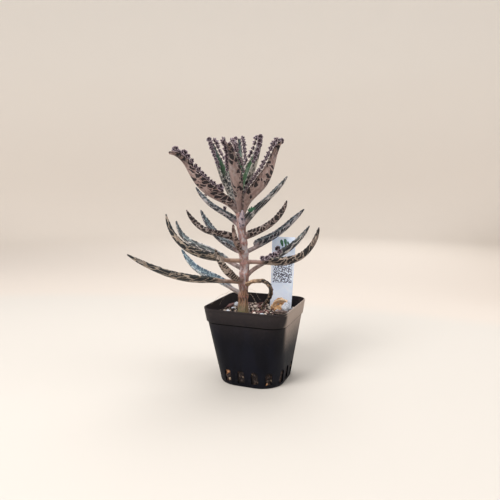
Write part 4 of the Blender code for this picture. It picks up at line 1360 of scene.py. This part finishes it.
def block_template(cuts):
    """Points and faces of a subdivided block that reaches 1 each way."""
    skin = bmesh.new()
    bmesh.ops.create_cube(skin, size=2)
    bmesh.ops.subdivide_edges(skin, edges=skin.edges[:], cuts=cuts, use_grid_fill=True)
    return taken_from(skin)


def lump_points(template, rough, drift):
    """A ball's points, pushed in and out into an uneven lump."""
    points = []
    for point in template:
        coarse = noise.noise(point * 1.3 + drift)
        fine = noise.noise(point * 3.1 + drift)
        points.append(point * (1 + rough * coarse + rough * 0.5 * fine))
    return points


def chip_points(template, rough, drift):
    """A block's points, tapered and torn into a splinter."""
    points = []
    for point in template:
        taper = 1 - 0.45 * abs(point.x)
        torn = 1 + rough * noise.noise(Vector((point.x * 0.8, point.y * 2.4, point.z * 2.4)) + drift)
        end = 1 + rough * 1.2 * noise.noise(Vector((drift.x, point.y * 3, point.z * 3)))
        points.append(Vector((point.x * end, point.y * taper * torn, point.z * taper * torn)))
    return points


def add_lump(body, template, rough, drift, middle, size, turn, make_points=lump_points, finish=0):
    """Puts a lump, or a chip, of a size in its place."""
    points = [middle + turn @ (point * size) for point in make_points(template[0], rough, drift)]
    body.add(points, template[1], finish=finish)


def fit_to_node(points, node):
    """Moves and scales points so that they fill the box of a solid."""
    low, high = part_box(node)
    least = [min(point[axis] for point in points) for axis in range(3)]
    most = [max(point[axis] for point in points) for axis in range(3)]
    fitted = []
    for point in points:
        spot = []
        for axis in range(3):
            reach = (high[axis] - low[axis]) * (point[axis] - least[axis]) / (most[axis] - least[axis])
            spot.append(low[axis] + reach)
        fitted.append(Vector(spot))
    return fitted


def make_loose_bits(skins, draw):
    """The larger pumice and bark on the mix, each in the place of its solid."""
    ball, faces = ball_template(4)
    for number in (1, 2, 3):
        node = "pumice_%d" % number
        drift = random_drift(draw)
        points = lump_points(ball, 0.32, drift)
        for point in points:
            point *= 1 + 0.07 * noise.noise(point * 7 + drift)
            point.z = max(point.z, -0.72)
        body = Body()
        body.add(fit_to_node(points, node), faces)
        add_piece("stone_" + node, body, [skins["pumice"]], [node])
    block, faces = block_template(7)
    for number, (turn, finish) in enumerate(BARK_CHIPS, 1):
        node = "bark_chip_%d" % number
        spin = spun(math.radians(turn))
        points = chip_points(block, 0.5, random_drift(draw))
        points = [spin @ Vector((point.x * 5, point.y * 2.4, point.z * 1.3)) for point in points]
        body = Body()
        body.add(fit_to_node(points, node), faces)
        add_piece("split_" + node, body, [skins[finish]], [node], GRAIN_CREASE)


def scatter_spot(draw):
    """A random place on the mix, clear of the stem and the pot's wall."""
    while True:
        x, y = draw.uniform(-SCATTER_HALF, SCATTER_HALF), draw.uniform(-SCATTER_HALF, SCATTER_HALF)
        clear_of_stem = math.hypot(x - STEM_FOOT[0], y - STEM_FOOT[1]) > STEM_CLEAR
        if clear_of_stem and math.hypot(x, y) < SCATTER_CORNER:
            return x, y


def make_grains(skins, draw):
    """Hundreds of small grains and splinters on top of the mix."""
    lump = (ball_template(2), lump_points, (0.7, 1.0), 1)
    chip = (block_template(2), chip_points, (0.3, 0.55), 0.5)
    for grain in GRAINS + CHIPS:
        template, make_points, narrow, thin = chip if grain in CHIPS else lump
        body = Body()
        for _ in range(grain.count):
            x, y = scatter_spot(draw)
            share = draw.random() ** 2
            radius = (grain.radius[0] + (grain.radius[1] - grain.radius[0]) * share) * MM
            drift = random_drift(draw)
            turn = spun(draw.uniform(0, math.tau))
            tilt = spun(draw.uniform(-0.5, 0.5), "X") @ spun(draw.uniform(-0.4, 0.4), "Y")
            flat = draw.uniform(*grain.flat)
            size = Vector((radius, radius * draw.uniform(*narrow), radius * flat * thin))
            middle = Vector((x, y, mix_height(x, y) + size.z * draw.uniform(0.1, 0.7)))
            add_lump(body, template, grain.rough, drift, middle, size, turn @ tilt, make_points)
        add_piece(grain.name, body, [skins[grain.finish]], crease=GRAIN_CREASE)


def make_fibres(skins, draw):
    """Strands of fibre and root that lie about on the mix."""
    body = Body()
    for _ in range(FIBRE_COUNT):
        x, y = scatter_spot(draw)
        angle = draw.uniform(0, math.tau)
        length = draw.uniform(3, 9) * MM
        arch = draw.uniform(0.2, 1.6) * MM
        path = []
        for step in range(FIBRE_STEPS + 1):
            t = step / FIBRE_STEPS
            bend = noise.noise_vector(Vector((x / MM, y / MM, t * 2.5))) * FIBRE_BEND * MM
            px = x + math.cos(angle) * length * (t - 0.5) + bend.x
            py = y + math.sin(angle) * length * (t - 0.5) + bend.y
            px = min(max(px, -SCATTER_HALF), SCATTER_HALF)
            py = min(max(py, -SCATTER_HALF), SCATTER_HALF)
            path.append(Vector((px, py, mix_height(px, py) + arch * math.sin(math.pi * t) + 0.15 * MM)))
        strand(body, path, draw.uniform(0.1, 0.22) * MM, 5, 0.6)
    add_piece("fibres", body, [skins["fibre"]])


def make_slot_contents(skins, draw):
    """Bark, roots and grit that show in the drain slots."""
    block, ball = block_template(3), ball_template(2)
    body = Body()
    for side, walk in [(side, walk) for side in range(4) for walk in SLOT_WALKS for _ in range(SLOT_BITS)]:
        height = draw.uniform(3.4, 11.0) * MM
        centre, turn, corner = wall_place(side, walk, height)
        depth = corner - draw.uniform(0.9, 1.4) * MM
        across = draw.uniform(-1.8, 1.8) * MM
        drift = random_drift(draw)
        middle = centre + turn @ Vector((across, -depth, 0)) + Vector((0, 0, height))
        spin = turn @ spun(draw.uniform(0, math.pi), "Y")
        kind = draw.random()
        if kind < 0.72:
            size = Vector((draw.uniform(0.8, 1.9), 0.45, draw.uniform(0.3, 0.7))) * MM
            finish = "orange bark" if kind < 0.2 else "crumb"
            add_lump(body, block, 0.5, drift, middle, size, spin, chip_points, SLOT_FINISHES.index(finish))
        else:
            size = Vector((0.8, 0.5, 0.7)) * MM * draw.uniform(0.5, 1.1)
            finish = "pumice" if kind > 0.93 else "crumb"
            add_lump(body, ball, 0.3, drift, middle, size, spin, finish=SLOT_FINISHES.index(finish))
    finishes = [skins[name] for name in SLOT_FINISHES]
    add_piece("slot_contents", body, finishes, crease=GRAIN_CREASE)


def make_label(skins):
    """The plain plastic strip, with softened edges."""
    half, foot = LABEL_WIDTH / 2, LABEL_FOOT_WIDTH / 2
    outline = [Vector((0, -LABEL_LENGTH)), Vector((foot, -LABEL_LENGTH + LABEL_POINT))]
    for mirror in (1, -1):
        for step in range(LABEL_CORNER_STEPS + 1):
            bend = 90 / LABEL_CORNER_STEPS * step
            angle = math.radians(bend if mirror > 0 else 90 - bend)
            x = half - LABEL_CORNER + LABEL_CORNER * math.cos(angle)
            outline.append(Vector((mirror * x, LABEL_CORNER * (math.sin(angle) - 1))))
    outline.append(Vector((-foot, -LABEL_LENGTH + LABEL_POINT)))
    centre = Vector((0, -LABEL_LENGTH / 2))
    turn = spun(CAMERA_TURN) @ spun(LABEL_LEAN, "Y")
    rings, places = [], []
    for along, inset in LABEL_EDGES:
        ring, row = [], []
        for spot in outline:
            drawn = spot + (centre - spot).normalized() * inset * MM
            ring.append(LABEL_TOP + turn @ Vector((drawn.x, along * LABEL_THICKNESS / 2, drawn.y)))
            row.append((drawn.x / MM, drawn.y / MM, 1 if along < 0 else 0))
        rings.append(ring)
        places.append(row)
    body = Body()
    body.loft(rings, places)
    add_piece("label_strip", body, [skins["label"]], ["plant_label"], GRAIN_CREASE)


def make_skins():
    """Every finish, by the name that the pieces ask for."""
    skins = {name: leaf_skin(name, skin) for name, skin in SKINS.items()}
    skins["plantlet"] = plantlet_skin()
    skins["sprig"] = sprig_skin()
    skins["stem"] = stem_skin()
    skins["pot"] = pot_skin()
    skins["mix"] = mix_skin()
    skins["label"] = label_skin()
    skins["pumice"] = stone_skin("pumice stone", (204, 210, 222), (234, 238, 246), (140, 142, 152), 0.7)
    skins["grit"] = stone_skin("beige grit", (178, 160, 146), (232, 218, 202), (96, 82, 76), 0.4)
    skins["cream grit"] = stone_skin("cream grit", (208, 192, 180), (242, 232, 222), (128, 112, 104), 0.5)
    skins["crumb"] = stone_skin("dark crumb", (40, 34, 34), (78, 66, 62), (22, 18, 20), 0.5)
    skins["red bark"] = bark_skin("red bark", (86, 52, 52), (130, 96, 92), (168, 146, 138))
    skins["brown bark"] = bark_skin("brown bark", (108, 90, 86), (158, 140, 132), (72, 54, 52))
    skins["orange bark"] = bark_skin("orange bark", (116, 72, 44), (206, 158, 120), (52, 34, 28))
    skins["dry"] = dry_skin("dry leaf skin", (212, 168, 122), (244, 220, 190), (164, 112, 66))
    skins["wilted"] = dry_skin("wilted leaf skin", (132, 106, 86), (190, 162, 134), (70, 52, 44), 13)
    skins["scrap"] = stone_skin("dry scraps", (206, 156, 104), (244, 216, 180), (150, 98, 58), 0.6)
    skins["root"] = thread_skin("pale root", (200, 184, 168), (150, 130, 116))
    skins["fibre"] = thread_skin("brown fibre", (112, 76, 66), (170, 136, 116))
    return skins


def make_camera():
    """The camera, at the photograph's angle."""
    lens = bpy.data.cameras.new("camera")
    lens.lens = CAMERA_LENS
    lens.sensor_width = 36
    camera = bpy.data.objects.new("camera", lens)
    bpy.context.scene.collection.objects.link(camera)
    turn = spun(CAMERA_TURN)
    swing, dip, roll = CAMERA_SIDEWAYS, CAMERA_DIP, CAMERA_ROLL
    ahead = Vector((math.sin(swing) * math.cos(dip), math.cos(swing) * math.cos(dip), -math.sin(dip)))
    right = Vector((math.cos(swing), -math.sin(swing), 0))
    over = right.cross(ahead)
    rolled_right = right * math.cos(roll) + over * math.sin(roll)
    rolled_over = over * math.cos(roll) - right * math.sin(roll)
    pose = Matrix((turn @ rolled_right, turn @ rolled_over, -(turn @ ahead))).transposed().to_4x4()
    pose.translation = turn @ Vector((0, -CAMERA_DISTANCE, CAMERA_HEIGHT))
    camera.matrix_world = pose
    bpy.context.scene.camera = camera


def make_stage():
    """A pale floor that curves up into a wall all round."""
    profile = [(0.002, 0), (0.3, 0), (FLOOR_RADIUS, 0)]
    for step in range(1, STAGE_BEND_STEPS + 1):
        angle = math.pi / 2 * step / STAGE_BEND_STEPS
        reach = FLOOR_RADIUS + FLOOR_BEND * math.sin(angle)
        profile.append((reach, FLOOR_BEND * (1 - math.cos(angle))))
    profile.append((FLOOR_RADIUS + FLOOR_BEND, WALL_TOP))
    points, faces = [], []
    for reach, height in profile:
        for k in range(STAGE_SIDES):
            angle = math.tau * k / STAGE_SIDES
            points.append(Vector((reach * math.cos(angle), reach * math.sin(angle), height)))
    for row in range(len(profile) - 1):
        for k in range(STAGE_SIDES):
            after = (k + 1) % STAGE_SIDES
            low, high = row * STAGE_SIDES, (row + 1) * STAGE_SIDES
            faces.append((low + k, low + after, high + after, high + k))
    faces.append(tuple(range(STAGE_SIDES)))
    mesh = bpy.data.meshes.new("studio_floor")
    mesh.from_pydata(points, [], faces)
    mesh.materials.append(stage_skin())
    mesh.shade_smooth()
    floor = bpy.data.objects.new("studio_floor", mesh)
    bpy.context.scene.collection.objects.link(floor)


def add_light(name, direction, distance, height, size, power, colour):
    """A soft square light that points at the plant. Direction is from the camera's line."""
    light = bpy.data.lights.new(name, "AREA")
    light.shape = "SQUARE"
    light.size = size
    light.energy = power
    light.color = colour
    lamp = bpy.data.objects.new(name, light)
    bpy.context.scene.collection.objects.link(lamp)
    angle = CAMERA_TURN + math.radians(direction)
    lamp.location = Vector((math.sin(angle) * distance, -math.cos(angle) * distance, height))
    lamp.rotation_euler = (LIGHT_AIM - lamp.location).to_track_quat("-Z", "Y").to_euler()


def make_lights():
    """Soft studio light: a key from the upper left, a fill from the right, and one overhead."""
    for light in LIGHTS:
        add_light(*light)
    world = bpy.data.worlds.new("studio air")
    world.use_nodes = True
    sky = world.node_tree.nodes["Background"]
    sky.inputs["Color"].default_value = SKY_COLOUR
    sky.inputs["Strength"].default_value = SKY_STRENGTH
    bpy.context.scene.world = world
    bpy.context.scene.view_settings.view_transform = "Standard"


def build():
    """Makes every piece in its place."""
    # The vector noise starts from the clock unless it has a seed
    noise.seed_set(SEED)
    draw = random.Random(SEED)
    make_camera()
    make_stage()
    make_lights()
    skins = make_skins()
    make_pot(skins)
    make_mix(skins)
    make_stem(skins)
    for seed, plan in enumerate(LEAVES, 1):
        make_leaf(plan, seed, skins, draw)
    make_wilted_leaf(skins)
    make_dry_leaf(skins)
    small_draw = random.Random(SEED + 1)
    make_dry_scraps(skins, small_draw)
    make_pebbles(skins, small_draw)
    make_aerial_roots(skins, draw)
    make_label(skins)
    make_loose_bits(skins, draw)
    make_grains(skins, draw)
    make_fibres(skins, draw)
    make_slot_contents(skins, draw)


build()
